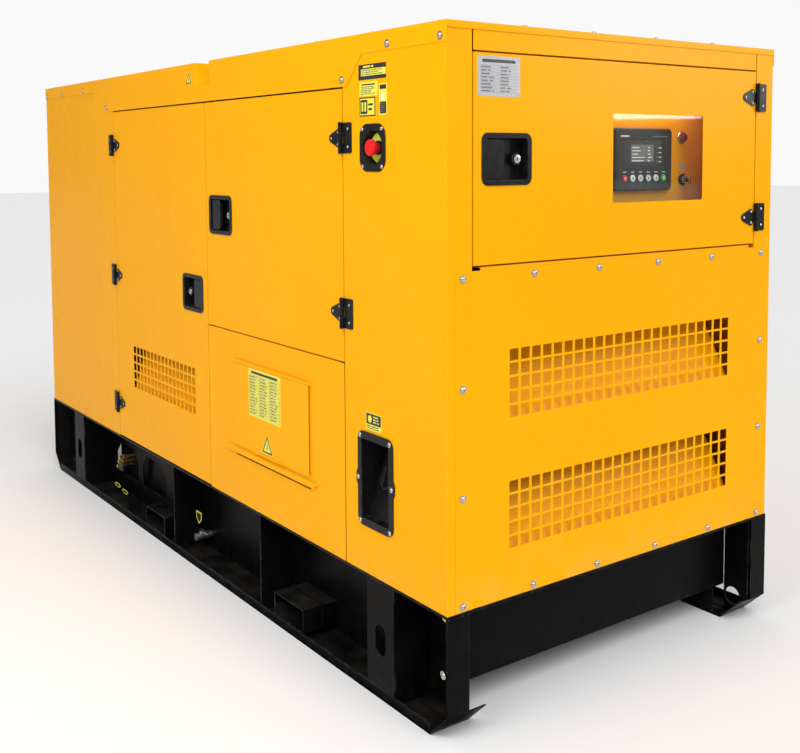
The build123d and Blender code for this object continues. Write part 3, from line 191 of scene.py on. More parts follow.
class Finish(Graph):
    """The shader of one material."""

    def __init__(self, name):
        self.material = bpy.data.materials.new(name)
        self.material.use_nodes = True
        super().__init__(self.material.node_tree)
        self.tree.nodes.clear()
        self.place = self.add("ShaderNodeTexCoord", output="Object")

    def stretched(self, scale):
        return self.add("ShaderNodeMapping", None, {"Vector": self.place, "Scale": scale})

    def noise(self, scale, detail=3.0, vector=None, roughness=0.55):
        values = {"Vector": vector or self.place, "Scale": scale, "Detail": detail, "Roughness": roughness}
        return self.add("ShaderNodeTexNoise", None, values, "Fac")

    def cells(self, scale):
        return self.add("ShaderNodeTexVoronoi", None, {"Vector": self.place, "Scale": scale}, "Distance")

    def between(self, value, low, high, start=0.0, end=1.0):
        """Value brought from low..high to start..end, and held there."""
        values = {"Value": value, "From Min": low, "From Max": high, "To Min": start, "To Max": end}
        return self.add("ShaderNodeMapRange", None, values, "Result")

    def patch(self, scale, detail, low, high):
        """Patches of noise, from none under low to full over high."""
        return self.between(self.noise(scale, detail), low, high)

    def blend(self, share, first, second):
        values = {"Factor_Float": share, "A_Color": first, "B_Color": second}
        return self.add("ShaderNodeMix", {"data_type": "RGBA"}, values, "Result_Color")

    def edge(self):
        return self.add("ShaderNodeAttribute", {"attribute_name": "edge"}, None, "Fac")

    def height(self):
        return self.add("ShaderNodeSeparateXYZ", None, {"Vector": self.place}, "Z")

    def upward(self):
        normal = self.add("ShaderNodeNewGeometry", output="Normal")
        return self.add("ShaderNodeSeparateXYZ", None, {"Vector": normal}, "Z")

    def bump(self, height, strength, distance, under=None):
        values = {"Height": height, "Strength": strength, "Distance": distance}
        if under is not None:
            values["Normal"] = under
        return self.add("ShaderNodeBump", None, values, "Normal")

    def close(self, shader):
        self.add("ShaderNodeOutputMaterial", None, {"Surface": shader})
        return self.material

    def surface(self, values):
        return self.close(self.add("ShaderNodeBsdfPrincipled", None, values, "BSDF"))


def rgba(colour):
    return (colour[0], colour[1], colour[2], 1.0)


def shade(colour, factor):
    return (colour[0] * factor, colour[1] * factor, colour[2] * factor, 1.0)


# ---------------------------------------------------------------- finishes
def canopy_paint(name, settings):
    """Gloss powder coat: slight orange peel, drifting tone, edges lighter partly from rubbing and partly as a
    painted highlight, and dust where it settles.
    """
    f = Finish(name)
    drift = f.noise(1.3, 2.0)
    mottle = f.noise(26.0, 4.0)
    tone = f.between(drift * 0.7 + mottle * 0.3, 0.35, 0.65)
    colour = f.blend(tone, shade(settings.paint, 0.955), rgba(settings.paint))
    # Lighter yellow on the edges in patches: partly rubbed wear, partly a painted highlight along the edges.
    rubbed_and_highlight = f.edge() * f.patch(35.0, 5.0, 0.40, 0.72)
    colour = f.blend(rubbed_and_highlight * 0.45, colour, rgba(settings.edge_rub_and_highlight_paint))
    chip = f.edge() * f.patch(240.0, 2.0, 0.70, 0.74)
    colour = f.blend(chip * 0.8, colour, (0.30, 0.27, 0.21, 1.0))
    settle = f.between(f.upward(), 0.75, 0.98) * f.patch(9.0, 5.0, 0.42, 0.75)
    low = f.between(f.height(), 0.30, 0.42, 1.0, 0.0) * f.patch(14.0, 5.0, 0.40, 0.80)
    dust = f.math("MAXIMUM", settle * 0.32, low * 0.16)
    colour = f.blend(dust, colour, (0.55, 0.42, 0.24, 1.0))
    wipe = f.between(f.noise(3.0, 6.0, f.stretched((1.0, 1.0, 0.35))), 0.40, 0.66)
    rough = 0.23 + wipe * 0.07 + mottle * 0.05 + dust * 0.9
    peel = f.bump(f.noise(420.0, 2.0), 0.055, 0.0006)
    panel = f.bump(f.noise(2.6, 1.0), 0.10, 0.010, peel)
    return f.surface({"Base Color": colour, "Roughness": rough, "Normal": panel, "Specular IOR Level": 0.035})


def skid_paint(name, settings):
    """Semi-gloss black over plate: peel, weld haze, dust low down, and grey on the edges that is partly wear and
    partly a painted highlight.
    """
    f = Finish(name)
    mottle = f.noise(18.0, 5.0)
    colour = f.blend(f.between(mottle, 0.35, 0.7), rgba(settings.skid), shade(settings.skid, 1.9))
    # Grey edges in patches: partly worn paint, partly a painted highlight along the edges.
    worn_and_highlight = f.edge() * f.patch(22.0, 6.0, 0.46, 0.66)
    colour = f.blend(worn_and_highlight * 0.55, colour, (0.085, 0.085, 0.088, 1.0))
    bare = f.edge() * f.patch(130.0, 3.0, 0.66, 0.70)
    colour = f.blend(bare * 0.8, colour, (0.26, 0.25, 0.24, 1.0))
    settle = f.between(f.upward(), 0.6, 0.95) * f.patch(11.0, 6.0, 0.36, 0.70)
    splash = f.between(f.height(), 0.0, 0.13, 1.0, 0.0) * f.patch(30.0, 6.0, 0.45, 0.80)
    dust = f.math("MAXIMUM", settle * 0.10, splash * 0.05)
    colour = f.blend(dust, colour, (0.20, 0.17, 0.13, 1.0))
    scuff = f.between(f.noise(6.0, 5.0, f.stretched((1.0, 6.0, 9.0))), 0.56, 0.75)
    rough = 0.27 + mottle * 0.12 + scuff * 0.10 + dust * 1.2
    peel = f.bump(f.noise(260.0, 3.0), 0.12, 0.0008)
    warp = f.bump(f.noise(5.0, 1.0), 0.10, 0.006, peel)
    return f.surface({"Base Color": colour, "Roughness": rough, "Normal": warp, "Metallic": bare * 0.6,
                      "Specular IOR Level": 0.045})


def plastic(name, colour, rough=0.40, grain=900.0, depth=0.10, worn_and_highlight=(0.12, 0.12, 0.125, 1.0)):
    """Moulded plastic or powder-coated casting with a fine grain and polished edges, lighter partly from rubbing
    and partly as a painted highlight.
    """
    f = Finish(name)
    drift = f.noise(40.0, 4.0)
    tint = f.blend(f.between(drift, 0.35, 0.68), rgba(colour), shade(colour, 1.35))
    # Lighter edges in patches: partly rubbed wear, partly a painted highlight.
    rubbed_and_highlight = f.edge() * f.patch(90.0, 4.0, 0.42, 0.68)
    tint = f.blend(rubbed_and_highlight * 0.4, tint, worn_and_highlight)
    dust = f.between(f.upward(), 0.7, 0.98) * f.patch(50.0, 5.0, 0.45, 0.75)
    tint = f.blend(dust * 0.18, tint, (0.30, 0.27, 0.22, 1.0))
    grainy = f.bump(f.cells(grain), depth, 0.0004)
    return f.surface({"Base Color": tint, "Roughness": rough + drift * 0.12 - rubbed_and_highlight * 0.10, "Normal": grainy,
                      "Specular IOR Level": 0.12})


def metal(name, colour, rough=0.26, tint=None, streak=(1.0, 1.0, 1.0), stain=0.25):
    """Plated or bare metal: fine lines, spots of oxide, and every edge lightened as a painted highlight."""
    f = Finish(name)
    spots = f.patch(120.0, 5.0, 0.48, 0.70)
    colour_flow = f.blend(spots * stain, rgba(colour), tint or shade(colour, 0.55))
    # Painted highlight: every rounded edge a fifth lighter.
    colour_flow = f.blend(f.edge() * 0.35, colour_flow, shade(colour, 1.2))
    lines = f.noise(700.0, 2.0, f.stretched(streak))
    rough_flow = rough + lines * 0.10 + spots * 0.14
    return f.surface({"Base Color": colour_flow, "Metallic": 1.0 - spots * 0.2, "Roughness": rough_flow,
                      "Normal": f.bump(lines, 0.08, 0.0003)})


def engine_enamel(name, colour):
    """Brushed engine enamel over a cast skin, with dark patches of oil film."""
    f = Finish(name)
    cast = f.noise(340.0, 4.0)
    film = f.patch(9.0, 6.0, 0.42, 0.70)
    tint = f.blend(film * 0.5, rgba(colour), shade(colour, 0.45))
    tint = f.blend(f.edge() * f.patch(60.0, 4.0, 0.5, 0.7) * 0.5, tint, (0.35, 0.34, 0.32, 1.0))
    return f.surface({"Base Color": tint, "Roughness": 0.42 - film * 0.14 + cast * 0.1,
                      "Normal": f.bump(cast, 0.28, 0.0012)})


def rubber(name, colour):
    f = Finish(name)
    bloom = f.patch(22.0, 5.0, 0.42, 0.72)
    tint = f.blend(bloom * 0.4, rgba(colour), shade(colour, 2.2))
    return f.surface({"Base Color": tint, "Roughness": 0.62 + bloom * 0.15,
                      "Normal": f.bump(f.noise(600.0, 2.0), 0.15, 0.0004)})


def radiator_core(name):
    """Close fins: fine upright lines with painted shade between them, and patches of soot."""
    f = Finish(name)
    fins = f.add("ShaderNodeTexWave", {"wave_type": "BANDS", "bands_direction": "Y"},
                 {"Vector": f.place, "Scale": 90.0, "Distortion": 0.0}, "Fac")
    soot = f.patch(7.0, 6.0, 0.40, 0.70)
    tint = f.blend(soot * 0.7, (0.20, 0.20, 0.21, 1.0), (0.05, 0.045, 0.04, 1.0))
    # Painted shade: near-black bands between the fins.
    tint = f.blend(fins * 0.6, tint, (0.02, 0.02, 0.02, 1.0))
    return f.surface({"Base Color": tint, "Metallic": 0.6, "Roughness": 0.45 + soot * 0.3,
                      "Normal": f.bump(fins, 0.5, 0.002)})


def window_glass(name):
    """Clear pane: what is behind shows through, and it mirrors more at a slant."""
    f = Finish(name)
    smear = f.between(f.noise(16.0, 6.0, f.stretched((1.0, 1.0, 2.5))), 0.45, 0.75)
    ripple = f.bump(f.noise(6.0, 1.0), 0.03, 0.004)
    clear = f.add("ShaderNodeBsdfTransparent", None, {"Color": (0.93, 0.95, 0.94, 1.0)}, "BSDF")
    mirror = f.add("ShaderNodeBsdfGlossy", None, {"Color": (1.0, 1.0, 1.0, 1.0), "Roughness": 0.035,
                                                  "Normal": ripple}, "BSDF")
    slant = f.add("ShaderNodeLayerWeight", None, {"Blend": 0.5}, "Facing")
    share = slant ** 5.0 * 0.95 + 0.022 + smear * 0.006
    return f.close(f.add("ShaderNodeMixShader", None, {"Fac": share, "Shader": clear, "Shader_001": mirror},
                         "Shader"))


def lens(name, colour):
    """Tinted lamp or screen cover: glossy, with faint rings of depth."""
    f = Finish(name)
    depth = f.patch(70.0, 3.0, 0.35, 0.70)
    tint = f.blend(depth, rgba(colour), shade(colour, 0.5))
    return f.surface({"Base Color": tint, "Roughness": 0.08 + depth * 0.08, "Coat Weight": 0.6,
                      "Normal": f.bump(f.noise(300.0, 2.0), 0.03, 0.0004)})


def print_film(name, colour, rough=0.32):
    """Printed vinyl: even ink with faint mottling and a few lifted spots."""
    f = Finish(name)
    mottle = f.noise(160.0, 4.0)
    tint = f.blend(f.between(mottle, 0.35, 0.7), rgba(colour), shade(colour, 0.90))
    return f.surface({"Base Color": tint, "Roughness": rough + mottle * 0.12,
                      "Normal": f.bump(f.noise(90.0, 2.0), 0.05, 0.0006)})


def foam(name):
    """Open-cell sound foam."""
    f = Finish(name)
    cells = f.cells(420.0)
    age = f.patch(5.0, 5.0, 0.40, 0.70)
    tint = f.blend(age, (0.022, 0.022, 0.024, 1.0), (0.05, 0.048, 0.046, 1.0))
    return f.surface({"Base Color": tint, "Roughness": 0.88 + cells * 0.1,
                      "Normal": f.bump(cells, 0.5, 0.001)})


def make_finishes(settings):
    """One material for each of the record's slots, and the extra ones."""
    return {
        "yellow_paint": canopy_paint("canopy_yellow", settings),
        "black_paint": skid_paint("skid_black", settings),
        "black_plastic": plastic("fitting_black", (0.008, 0.008, 0.009), 0.22, 1100.0, 0.07),
        "brass": metal("valve_brass", (0.78, 0.57, 0.25), 0.28, (0.30, 0.22, 0.10, 1.0)),
        "bare_steel": metal("bare_steel", (0.50, 0.50, 0.51), 0.34, (0.22, 0.17, 0.13, 1.0),
                            (1.0, 1.0, 6.0), 0.4),
        "zinc_bolt": metal("zinc_plate", (0.50, 0.48, 0.45), 0.13, (0.34, 0.28, 0.18, 1.0)),
        "red_plastic": plastic("stop_red", (0.72, 0.010, 0.016), 0.22, 1500.0, 0.03, (0.85, 0.10, 0.10, 1.0)),
        "controller_case": plastic("controller_grey", (0.030, 0.030, 0.033), 0.34, 1300.0, 0.06),
        "breaker_case": plastic("breaker_grey", (0.09, 0.09, 0.10), 0.45),
        "breaker_handle": plastic("breaker_lever", (0.02, 0.02, 0.02), 0.35),
        "engine_paint": engine_enamel("engine_green", (0.030, 0.085, 0.065)),
        "generator_paint": engine_enamel("generator_blue", (0.030, 0.060, 0.140)),
        "belt_rubber": rubber("belt_rubber", (0.016, 0.016, 0.016)),
        "radiator_core": radiator_core("radiator_fins"),
        "battery_case": plastic("battery_black", (0.020, 0.020, 0.023), 0.42, 500.0, 0.12),
        "window_glass": window_glass("window_glass"),
        "button_red": plastic("button_red", (0.60, 0.020, 0.025), 0.30, 1500.0, 0.03),
        "button_white": plastic("button_white", (0.62, 0.62, 0.62), 0.34, 1500.0, 0.03, (0.8, 0.8, 0.8, 1.0)),
        "button_green": plastic("button_green", (0.03, 0.38, 0.10), 0.30, 1500.0, 0.03),
        "lemon": print_film("label_lemon", (0.84, 0.78, 0.06)),
        "silver": print_film("label_silver", (0.44, 0.44, 0.46), 0.24),
        "white": print_film("label_white", (0.86, 0.86, 0.84)),
        "ink": print_film("label_ink", (0.016, 0.015, 0.014), 0.38),
        "grey_ink": print_film("label_grey_ink", (0.13, 0.13, 0.13), 0.40),
        "red_lens": lens("lamp_red", (0.20, 0.010, 0.010)),
        "screen": lens("controller_screen", (0.055, 0.060, 0.062)),
        "led": lens("led_green", (0.05, 0.50, 0.20)),
        "foam": foam("sound_foam"),
    }


# ---------------------------------------------------------------- meshes
def wall_matrix(wall, centre):
    """From a wall's own right, up and outward directions to the object's frame."""
    return Matrix.Translation(centre) @ Matrix(WALLS[wall]).transposed().to_4x4()


def axis_matrix(direction, centre):
    turn = Vector(direction).to_track_quat("Z", "Y").to_matrix().to_4x4()
    return Matrix.Translation(centre) @ turn


def ride_in(piece, body, slot):
    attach(piece, body)
    return piece


def put_in_scene(name, data):
    piece = bpy.data.objects.new(name, data)
    bpy.context.scene.collection.objects.link(piece)
    return piece


def settle_mesh(piece):
    """Turn a piece and its modifiers into a plain mesh."""
    graph = bpy.context.evaluated_depsgraph_get()
    mesh = bpy.data.meshes.new_from_object(piece.evaluated_get(graph), preserve_all_data_layers=True,
                                           depsgraph=graph)
    piece.modifiers.clear()
    piece.data = mesh
    return mesh


def soften_normals(piece):
    modifier = piece.modifiers.new("normals", "WEIGHTED_NORMAL")
    modifier.keep_sharp = True
    modifier.weight = 60
    settle_mesh(piece)


def round_corners(bm, width, segments):
    """Round every sharp outer edge and mark the new faces."""
    layer = bm.faces.layers.float.new("edge")
    corners = []
    for edge in bm.edges:
        if len(edge.link_faces) == 2:
            angle = edge.calc_face_angle_signed(0.0)
            if angle > SHARP:
                corners.append(edge)
            elif angle < -SHARP:
                edge.smooth = False
    if corners and width > 0:
        made = bmesh.ops.bevel(bm, geom=corners, offset=width, offset_type="OFFSET", segments=segments,
                               profile=0.5, affect="EDGES", clamp_overlap=False)
        for face in made["faces"]:
            face[layer] = 1.0


def islands(bm):
    """Groups of connected faces."""
    seen = set()
    for face in bm.faces:
        if face in seen:
            continue
        group, queue = [], [face]
        seen.add(face)
        while queue:
            current = queue.pop()
            group.append(current)
            for edge in current.edges:
                for other in edge.link_faces:
                    if other not in seen:
                        seen.add(other)
                        queue.append(other)
        yield group


def group_box(group):
    points = np.array([vert.co for face in group for vert in face.verts])
    return Vector(points.min(0)), Vector(points.max(0))


class Shop:
    """What every operator works with: the finishes."""

    finishes = {}


def refine(node, width, extra=(), chooser=None, segments=2):
    """A merged copy of a CAD node with rounded edges, standing for it; chooser gives a face's finish."""
    bm = bmesh.new()
    bm.from_mesh(frame["nodes"][node].data)
    bmesh.ops.remove_doubles(bm, verts=bm.verts, dist=MERGE)
    bmesh.ops.dissolve_limit(bm, angle_limit=FLAT, verts=bm.verts, edges=bm.edges)
    round_corners(bm, width, segments)
    low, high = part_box(node)
    for vert in bm.verts:
        vert.co = [min(max(value, least), most) for value, least, most in zip(vert.co, low, high)]
    for face in bm.faces:
        face.smooth = True
        face.material_index = chooser(face.calc_center_median()) if chooser else 0
    mesh = bpy.data.meshes.new(node + "_finished")
    bm.to_mesh(mesh)
    bm.free()
    for slot in (NODE_SLOT[node],) + tuple(extra):
        mesh.materials.append(Shop.finishes[slot])
    piece = put_in_scene(node + "_finished", mesh)
    soften_normals(piece)
    ride_in(piece, NODE_BODY[node], NODE_SLOT[node])
    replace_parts(piece, node)


class Shape:
    """Closed solids collected into one mesh."""

    def __init__(self, name):
        self.name = name
        self.bm = bmesh.new()
        self.materials = []

    def material(self, slot):
        if slot not in self.materials:
            self.materials.append(slot)
        return self.materials.index(slot)

    def solid(self, rings, slot):
        """Skin between equal rings of points, capped at both ends."""
        index = self.material(slot)
        rows = [[self.bm.verts.new(point) for point in ring] for ring in rings]
        faces = []
        count = len(rows[0])
        for lower, upper in zip(rows, rows[1:]):
            for i in range(count):
                j = (i + 1) % count
                faces.append(self.bm.faces.new((lower[i], lower[j], upper[j], upper[i])))
        faces.append(self.bm.faces.new(list(reversed(rows[0]))))
        faces.append(self.bm.faces.new(rows[-1]))
        for face in faces:
            face.material_index = index
            face.smooth = True
        bmesh.ops.recalc_face_normals(self.bm, faces=faces)

    def slab(self, matrix, outline, low, high, slot):
        """Flat plate from an outline in a wall's own right and up."""
        self.solid([[matrix @ Vector((u, v, level)) for u, v in outline] for level in (low, high)], slot)

    def lathe(self, matrix, profile, slot, segments=32):
        """Turned part: pairs of radius and height from the bottom up."""
        rings = []
        for radius, height in profile:
            ring = ellipse(0, 0, max(radius, 2e-5), max(radius, 2e-5), segments)
            rings.append([matrix @ Vector((u, v, height)) for u, v in ring])
        self.solid(rings, slot)

    def make(self, body, slot):
        round_corners(self.bm, 0.0, 0)
        mesh = bpy.data.meshes.new(self.name)
        self.bm.to_mesh(mesh)
        self.bm.free()
        for name in self.materials:
            mesh.materials.append(Shop.finishes[name])
        mesh.set_sharp_from_angle(angle=math.radians(40))
        piece = put_in_scene(self.name, mesh)
        return ride_in(piece, body, slot)


def rectangle(u0, u1, v0, v1):
    return [(u0, v0), (u1, v0), (u1, v1), (u0, v1)]


def rounded(u0, u1, v0, v1, radius, steps=5):
    """Rectangle with round corners."""
    points = []
    for cu, cv, start in ((u1 - radius, v0 + radius, -90), (u1 - radius, v1 - radius, 0),
                          (u0 + radius, v1 - radius, 90), (u0 + radius, v0 + radius, 180)):
        for step in range(steps + 1):
            angle = math.radians(start + 90 * step / steps)
            points.append((cu + radius * math.cos(angle), cv + radius * math.sin(angle)))
    return points


def ellipse(u, v, a, b, count=24):
    return [(u + a * math.cos(2 * math.pi * i / count), v + b * math.sin(2 * math.pi * i / count))
            for i in range(count)]


def triangle(u, v, side):
    tall = side * math.sqrt(3) / 2
    return [(u - side / 2, v - tall / 3), (u + side / 2, v - tall / 3), (u, v + tall * 2 / 3)]


# ---------------------------------------------------------------- geometry node trees
class Recipe(Graph):
    """A geometry node tree with named inputs."""

    def __init__(self, name, inputs):
        super().__init__(bpy.data.node_groups.new(name, "GeometryNodeTree"))
        face = self.tree.interface
        face.new_socket(name="Geometry", in_out="INPUT", socket_type="NodeSocketGeometry")
        face.new_socket(name="Geometry", in_out="OUTPUT", socket_type="NodeSocketGeometry")
        self.identifiers = {}
        for label, kind, value in inputs:
            item = face.new_socket(name=label, in_out="INPUT", socket_type="NodeSocket" + kind)
            if value is not None:
                item.default_value = value
            self.identifiers[label] = item.identifier
        self.entry = self.tree.nodes.new("NodeGroupInput")

    def input(self, label):
        return Flow(self, pick(self.entry.outputs, label))

    def vector(self, x=0.0, y=0.0, z=0.0):
        return self.add("ShaderNodeCombineXYZ", None, {"X": x, "Y": y, "Z": z}, "Vector")

    def moved(self, geometry, values):
        return self.add("GeometryNodeTransform", None, {"Geometry": geometry, **values}, "Geometry")

    def close(self, geometry):
        real = self.add("GeometryNodeRealizeInstances", None, {"Geometry": geometry}, "Geometry")
        painted = self.add("GeometryNodeSetMaterial", None,
                           {"Geometry": real, "Material": self.input("Finish")}, "Geometry")
        self.add("NodeGroupOutput", None, {"Geometry": painted})
        return self

    def apply(self, piece, values, sharp=40):
        """Run the tree on a piece with these inputs and keep the plain mesh."""
        modifier = piece.modifiers.new("recipe", "NODES")
        modifier.node_group = self.tree
        for label, value in values.items():
            modifier[self.identifiers[label]] = value
        mesh = settle_mesh(piece)
        mesh.polygons.foreach_set("use_smooth", [True] * len(mesh.polygons))
        mesh.set_sharp_from_angle(angle=math.radians(sharp))
        return mesh


def fastener_recipe():
    """Domed heads with a washer and a socket, one on each point, turned outwards."""
    r = Recipe("Fastener Heads", (
        ("Washer Radius", "Float", 0.0095), ("Washer Thickness", "Float", 0.0015),
        ("Head Radius", "Float", 0.007), ("Head Height", "Float", 0.0045), ("Socket Radius", "Float", 0.0035),
        ("Socket Depth", "Float", 0.002), ("Socket Sides", "Int", 6), ("Seed", "Int", 3),
        ("Finish", "Material", None)))
    thick = r.input("Washer Thickness")
    washer = r.add("GeometryNodeMeshCylinder", {"fill_type": "NGON"},
                   {"Vertices": 20, "Radius": r.input("Washer Radius"), "Depth": thick}, "Mesh")
    washer = r.moved(washer, {"Translation": r.vector(z=thick * 0.5)})
    ball = r.add("GeometryNodeMeshUVSphere", None,
                 {"Segments": 16, "Rings": 10, "Radius": r.input("Head Radius")}, "Mesh")
    place = r.add("GeometryNodeInputPosition")
    high = r.add("ShaderNodeSeparateXYZ", None, {"Vector": place}, "Z")
    lower = r.math("LESS_THAN", high, -0.00001)
    cut = r.add("GeometryNodeDeleteGeometry", {"domain": "POINT"}, {"Geometry": ball, "Selection": lower})
    dome = r.add("GeometryNodeConvexHull", None, {"Geometry": cut})
    squeeze = r.input("Head Height") / r.input("Head Radius")
    dome = r.moved(dome, {"Scale": r.vector(1.0, 1.0, squeeze), "Translation": r.vector(z=thick)})
    socket = r.add("GeometryNodeMeshCylinder", {"fill_type": "NGON"},
                   {"Vertices": r.input("Socket Sides"), "Radius": r.input("Socket Radius"),
                    "Depth": r.input("Socket Depth") * 2.0}, "Mesh")
    socket = r.moved(socket, {"Translation": r.vector(z=thick + r.input("Head Height"))})
    head = r.add("GeometryNodeMeshBoolean", {"operation": "DIFFERENCE"},
                 {"Mesh 1": dome, "Mesh 2": socket}, "Mesh")
    one = r.add("GeometryNodeJoinGeometry", None, {"Geometry": [head, washer]})
    outward = r.add("GeometryNodeInputNamedAttribute", {"data_type": "FLOAT_VECTOR"}, {"Name": "outward"},
                    "Attribute")
    facing = r.add("FunctionNodeAlignRotationToVector", {"axis": "Z"}, {"Vector": outward}, "Rotation")
    angle = r.add("FunctionNodeRandomValue", {"data_type": "FLOAT"},
                  {"Min_001": 0.0, "Max_001": math.tau, "Seed": r.input("Seed")}, "Value_001")
    spin = r.add("FunctionNodeAxisAngleToRotation", None, {"Axis": (0.0, 0.0, 1.0), "Angle": angle},
                 "Rotation")
    facing = r.add("FunctionNodeRotateRotation", {"rotation_space": "LOCAL"},
                   {"Rotation": facing, "Rotate By": spin}, "Rotation")
    many = r.add("GeometryNodeInstanceOnPoints", None,
                 {"Points": r.input("Geometry"), "Instance": one, "Rotation": facing}, "Instances")
    return r.close(many)


def bead_recipe():
    """Overlapping weld ripples along a path."""
    r = Recipe("Weld Bead", (("Radius", "Float", 0.003), ("Pitch", "Float", 0.0035), ("Seed", "Int", 5),
                             ("Finish", "Material", None)))
    path = r.add("GeometryNodeMeshToCurve", None, {"Mesh": r.input("Geometry")}, "Curve")
    points = r.add("GeometryNodeCurveToPoints", {"mode": "LENGTH"},
                   {"Curve": path, "Length": r.input("Pitch")}, "Points")
    ripple = r.add("GeometryNodeMeshIcoSphere", None,
                   {"Radius": r.input("Radius"), "Subdivisions": 1}, "Mesh")
    size = r.add("FunctionNodeRandomValue", {"data_type": "FLOAT"},
                 {"Min_001": 0.85, "Max_001": 1.15, "Seed": r.input("Seed")}, "Value_001")
    many = r.add("GeometryNodeInstanceOnPoints", None,
                 {"Points": points, "Instance": ripple, "Scale": r.vector(size, size, size)}, "Instances")
    return r.close(many)


def profile_recipe():
    """Round cord along a path, such as a door seal."""
    r = Recipe("Cord Profile", (("Radius", "Float", 0.0017), ("Sides", "Int", 8),
                                ("Finish", "Material", None)))
    path = r.add("GeometryNodeMeshToCurve", None, {"Mesh": r.input("Geometry")}, "Curve")
    ring = r.add("GeometryNodeCurvePrimitiveCircle", None,
                 {"Resolution": r.input("Sides"), "Radius": r.input("Radius")}, "Curve")
    tube = r.add("GeometryNodeCurveToMesh", None,
                 {"Curve": path, "Profile Curve": ring, "Fill Caps": True}, "Mesh")
    return r.close(tube)


def foam_recipe():
    """Slab of egg-crate foam: a sheet with rows of pyramids."""
    r = Recipe("Foam Tiles", (
        ("Width", "Float", 0.3), ("Height", "Float", 0.3), ("Pitch", "Float", 0.02),
        ("Sheet", "Float", 0.008), ("Peak", "Float", 0.009), ("Finish", "Material", None)))
    wide, tall, pitch = r.input("Width"), r.input("Height"), r.input("Pitch")
    sheet, peak = r.input("Sheet"), r.input("Peak")
    base = r.add("GeometryNodeMeshCube", None, {"Size": r.vector(wide, tall, sheet)}, "Mesh")
    base = r.moved(base, {"Translation": r.vector(z=sheet * 0.5)})
    columns = r.math("FLOOR", wide / pitch)
    rows = r.math("FLOOR", tall / pitch)
    grid = r.add("GeometryNodeMeshGrid", None,
                 {"Size X": wide - pitch, "Size Y": tall - pitch, "Vertices X": columns, "Vertices Y": rows},
                 "Mesh")
    cone = r.add("GeometryNodeMeshCone", {"fill_type": "NGON"},
                 {"Vertices": 4, "Radius Top": 0.001, "Radius Bottom": pitch * 0.69, "Depth": peak}, "Mesh")
    cone = r.moved(cone, {"Rotation": (0.0, 0.0, math.pi / 4)})
    many = r.add("GeometryNodeInstanceOnPoints", None, {"Points": grid, "Instance": cone}, "Instances")
    many = r.moved(many, {"Translation": r.vector(z=sheet - 0.0002)})
    return r.close(r.add("GeometryNodeJoinGeometry", None, {"Geometry": [many, base]}))


def rib_recipe():
    """Ribs round a knob or a lamp, standing on a circle."""
    r = Recipe("Rib Ring", (("Radius", "Float", 0.03), ("Count", "Int", 36), ("Rib Width", "Float", 0.002),
                            ("Rib Length", "Float", 0.016), ("Finish", "Material", None)))
    ring = r.add("GeometryNodeMeshCircle", None,
                 {"Vertices": r.input("Count"), "Radius": r.input("Radius")}, "Mesh")
    wide = r.input("Rib Width")
    rib = r.add("GeometryNodeMeshCube", None, {"Size": r.vector(wide, wide, r.input("Rib Length"))}, "Mesh")
    place = r.add("GeometryNodeInputPosition")
    facing = r.add("FunctionNodeAlignRotationToVector", {"axis": "X"}, {"Vector": place}, "Rotation")
    many = r.add("GeometryNodeInstanceOnPoints", None, {"Points": ring, "Instance": rib, "Rotation": facing},
                 "Instances")
    return r.close(many)


def points_piece(name, places):
    """Loose points that carry the direction in which each fastener faces."""
    mesh = bpy.data.meshes.new(name)
    mesh.from_pydata([place for place, _ in places], [], [])
    facing = mesh.attributes.new("outward", "FLOAT_VECTOR", "POINT")
    facing.data.foreach_set("vector", [value for _, out in places for value in out])
    return put_in_scene(name, mesh)


def path_piece(name, paths, closed=False):
    """Edges along one or more paths."""
    points, edges = [], []
    for path in paths:
        first = len(points)
        points += path
        edges += [(first + i, first + i + 1) for i in range(len(path) - 1)]
        if closed:
            edges.append((first + len(path) - 1, first))
    mesh = bpy.data.meshes.new(name)
    mesh.from_pydata(points, edges, [])
    return put_in_scene(name, mesh)


def fasteners(name, places, body, head):
    """Plated fastener heads of one size at these places, on one body."""
    piece = points_piece(name, places)
    sizes = dict(zip(HEAD_INPUTS, HEADS[head]))
    fastener_recipe().apply(piece, {"Finish": Shop.finishes["zinc_bolt"], **sizes})
    return ride_in(piece, body, "zinc_bolt")


# ---------------------------------------------------------------- places read from the CAD
def door_node(door):
    if door == "control":
        return "control_door"
    group, side = door.split("_")
    return group + "_door_" + side


def node_islands(node):
    bm = bmesh.new()
    bm.from_mesh(frame["nodes"][node].data)
    bmesh.ops.remove_doubles(bm, verts=bm.verts, dist=MERGE)
    boxes = [group_box(group) for group in islands(bm)]
    bm.free()
    return boxes


def hinge_spots():
    """Each hinge: its door, wall, pin centre and which way along the wall the door lies."""
    spots = []
    for low, high in node_islands("hinge_leaves"):
        centre = (low + high) / 2
        if centre.x > CAD_BOX[1].x - 0.02:
            centre.y = low.y + HINGE_PIN
            spots.append(("control", "front", centre, -1))
            continue
        wall = "left" if centre.y < 0 else "right"
        group = "service" if centre.x < 0 else "output"
        toward = 1 if group == "service" else -1
        centre.x = high.x - HINGE_PIN if toward > 0 else low.x + HINGE_PIN
        spots.append((group + "_" + wall, wall, centre, toward if wall == "left" else -toward))
    if len(spots) != 12:
        raise RuntimeError("expected 12 hinges, found " + str(len(spots)))
    return spots


def skin_plane(wall):
    """A point on a canopy wall's outer skin, square out from the middle of the base."""
    if wall in ("left", "right"):
        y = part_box("front_corner_left")[0].y * (1 if wall == "left" else -1)
        return Vector((0, y, 0))
    return Vector((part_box("control_door")[1].x, 0, 0))


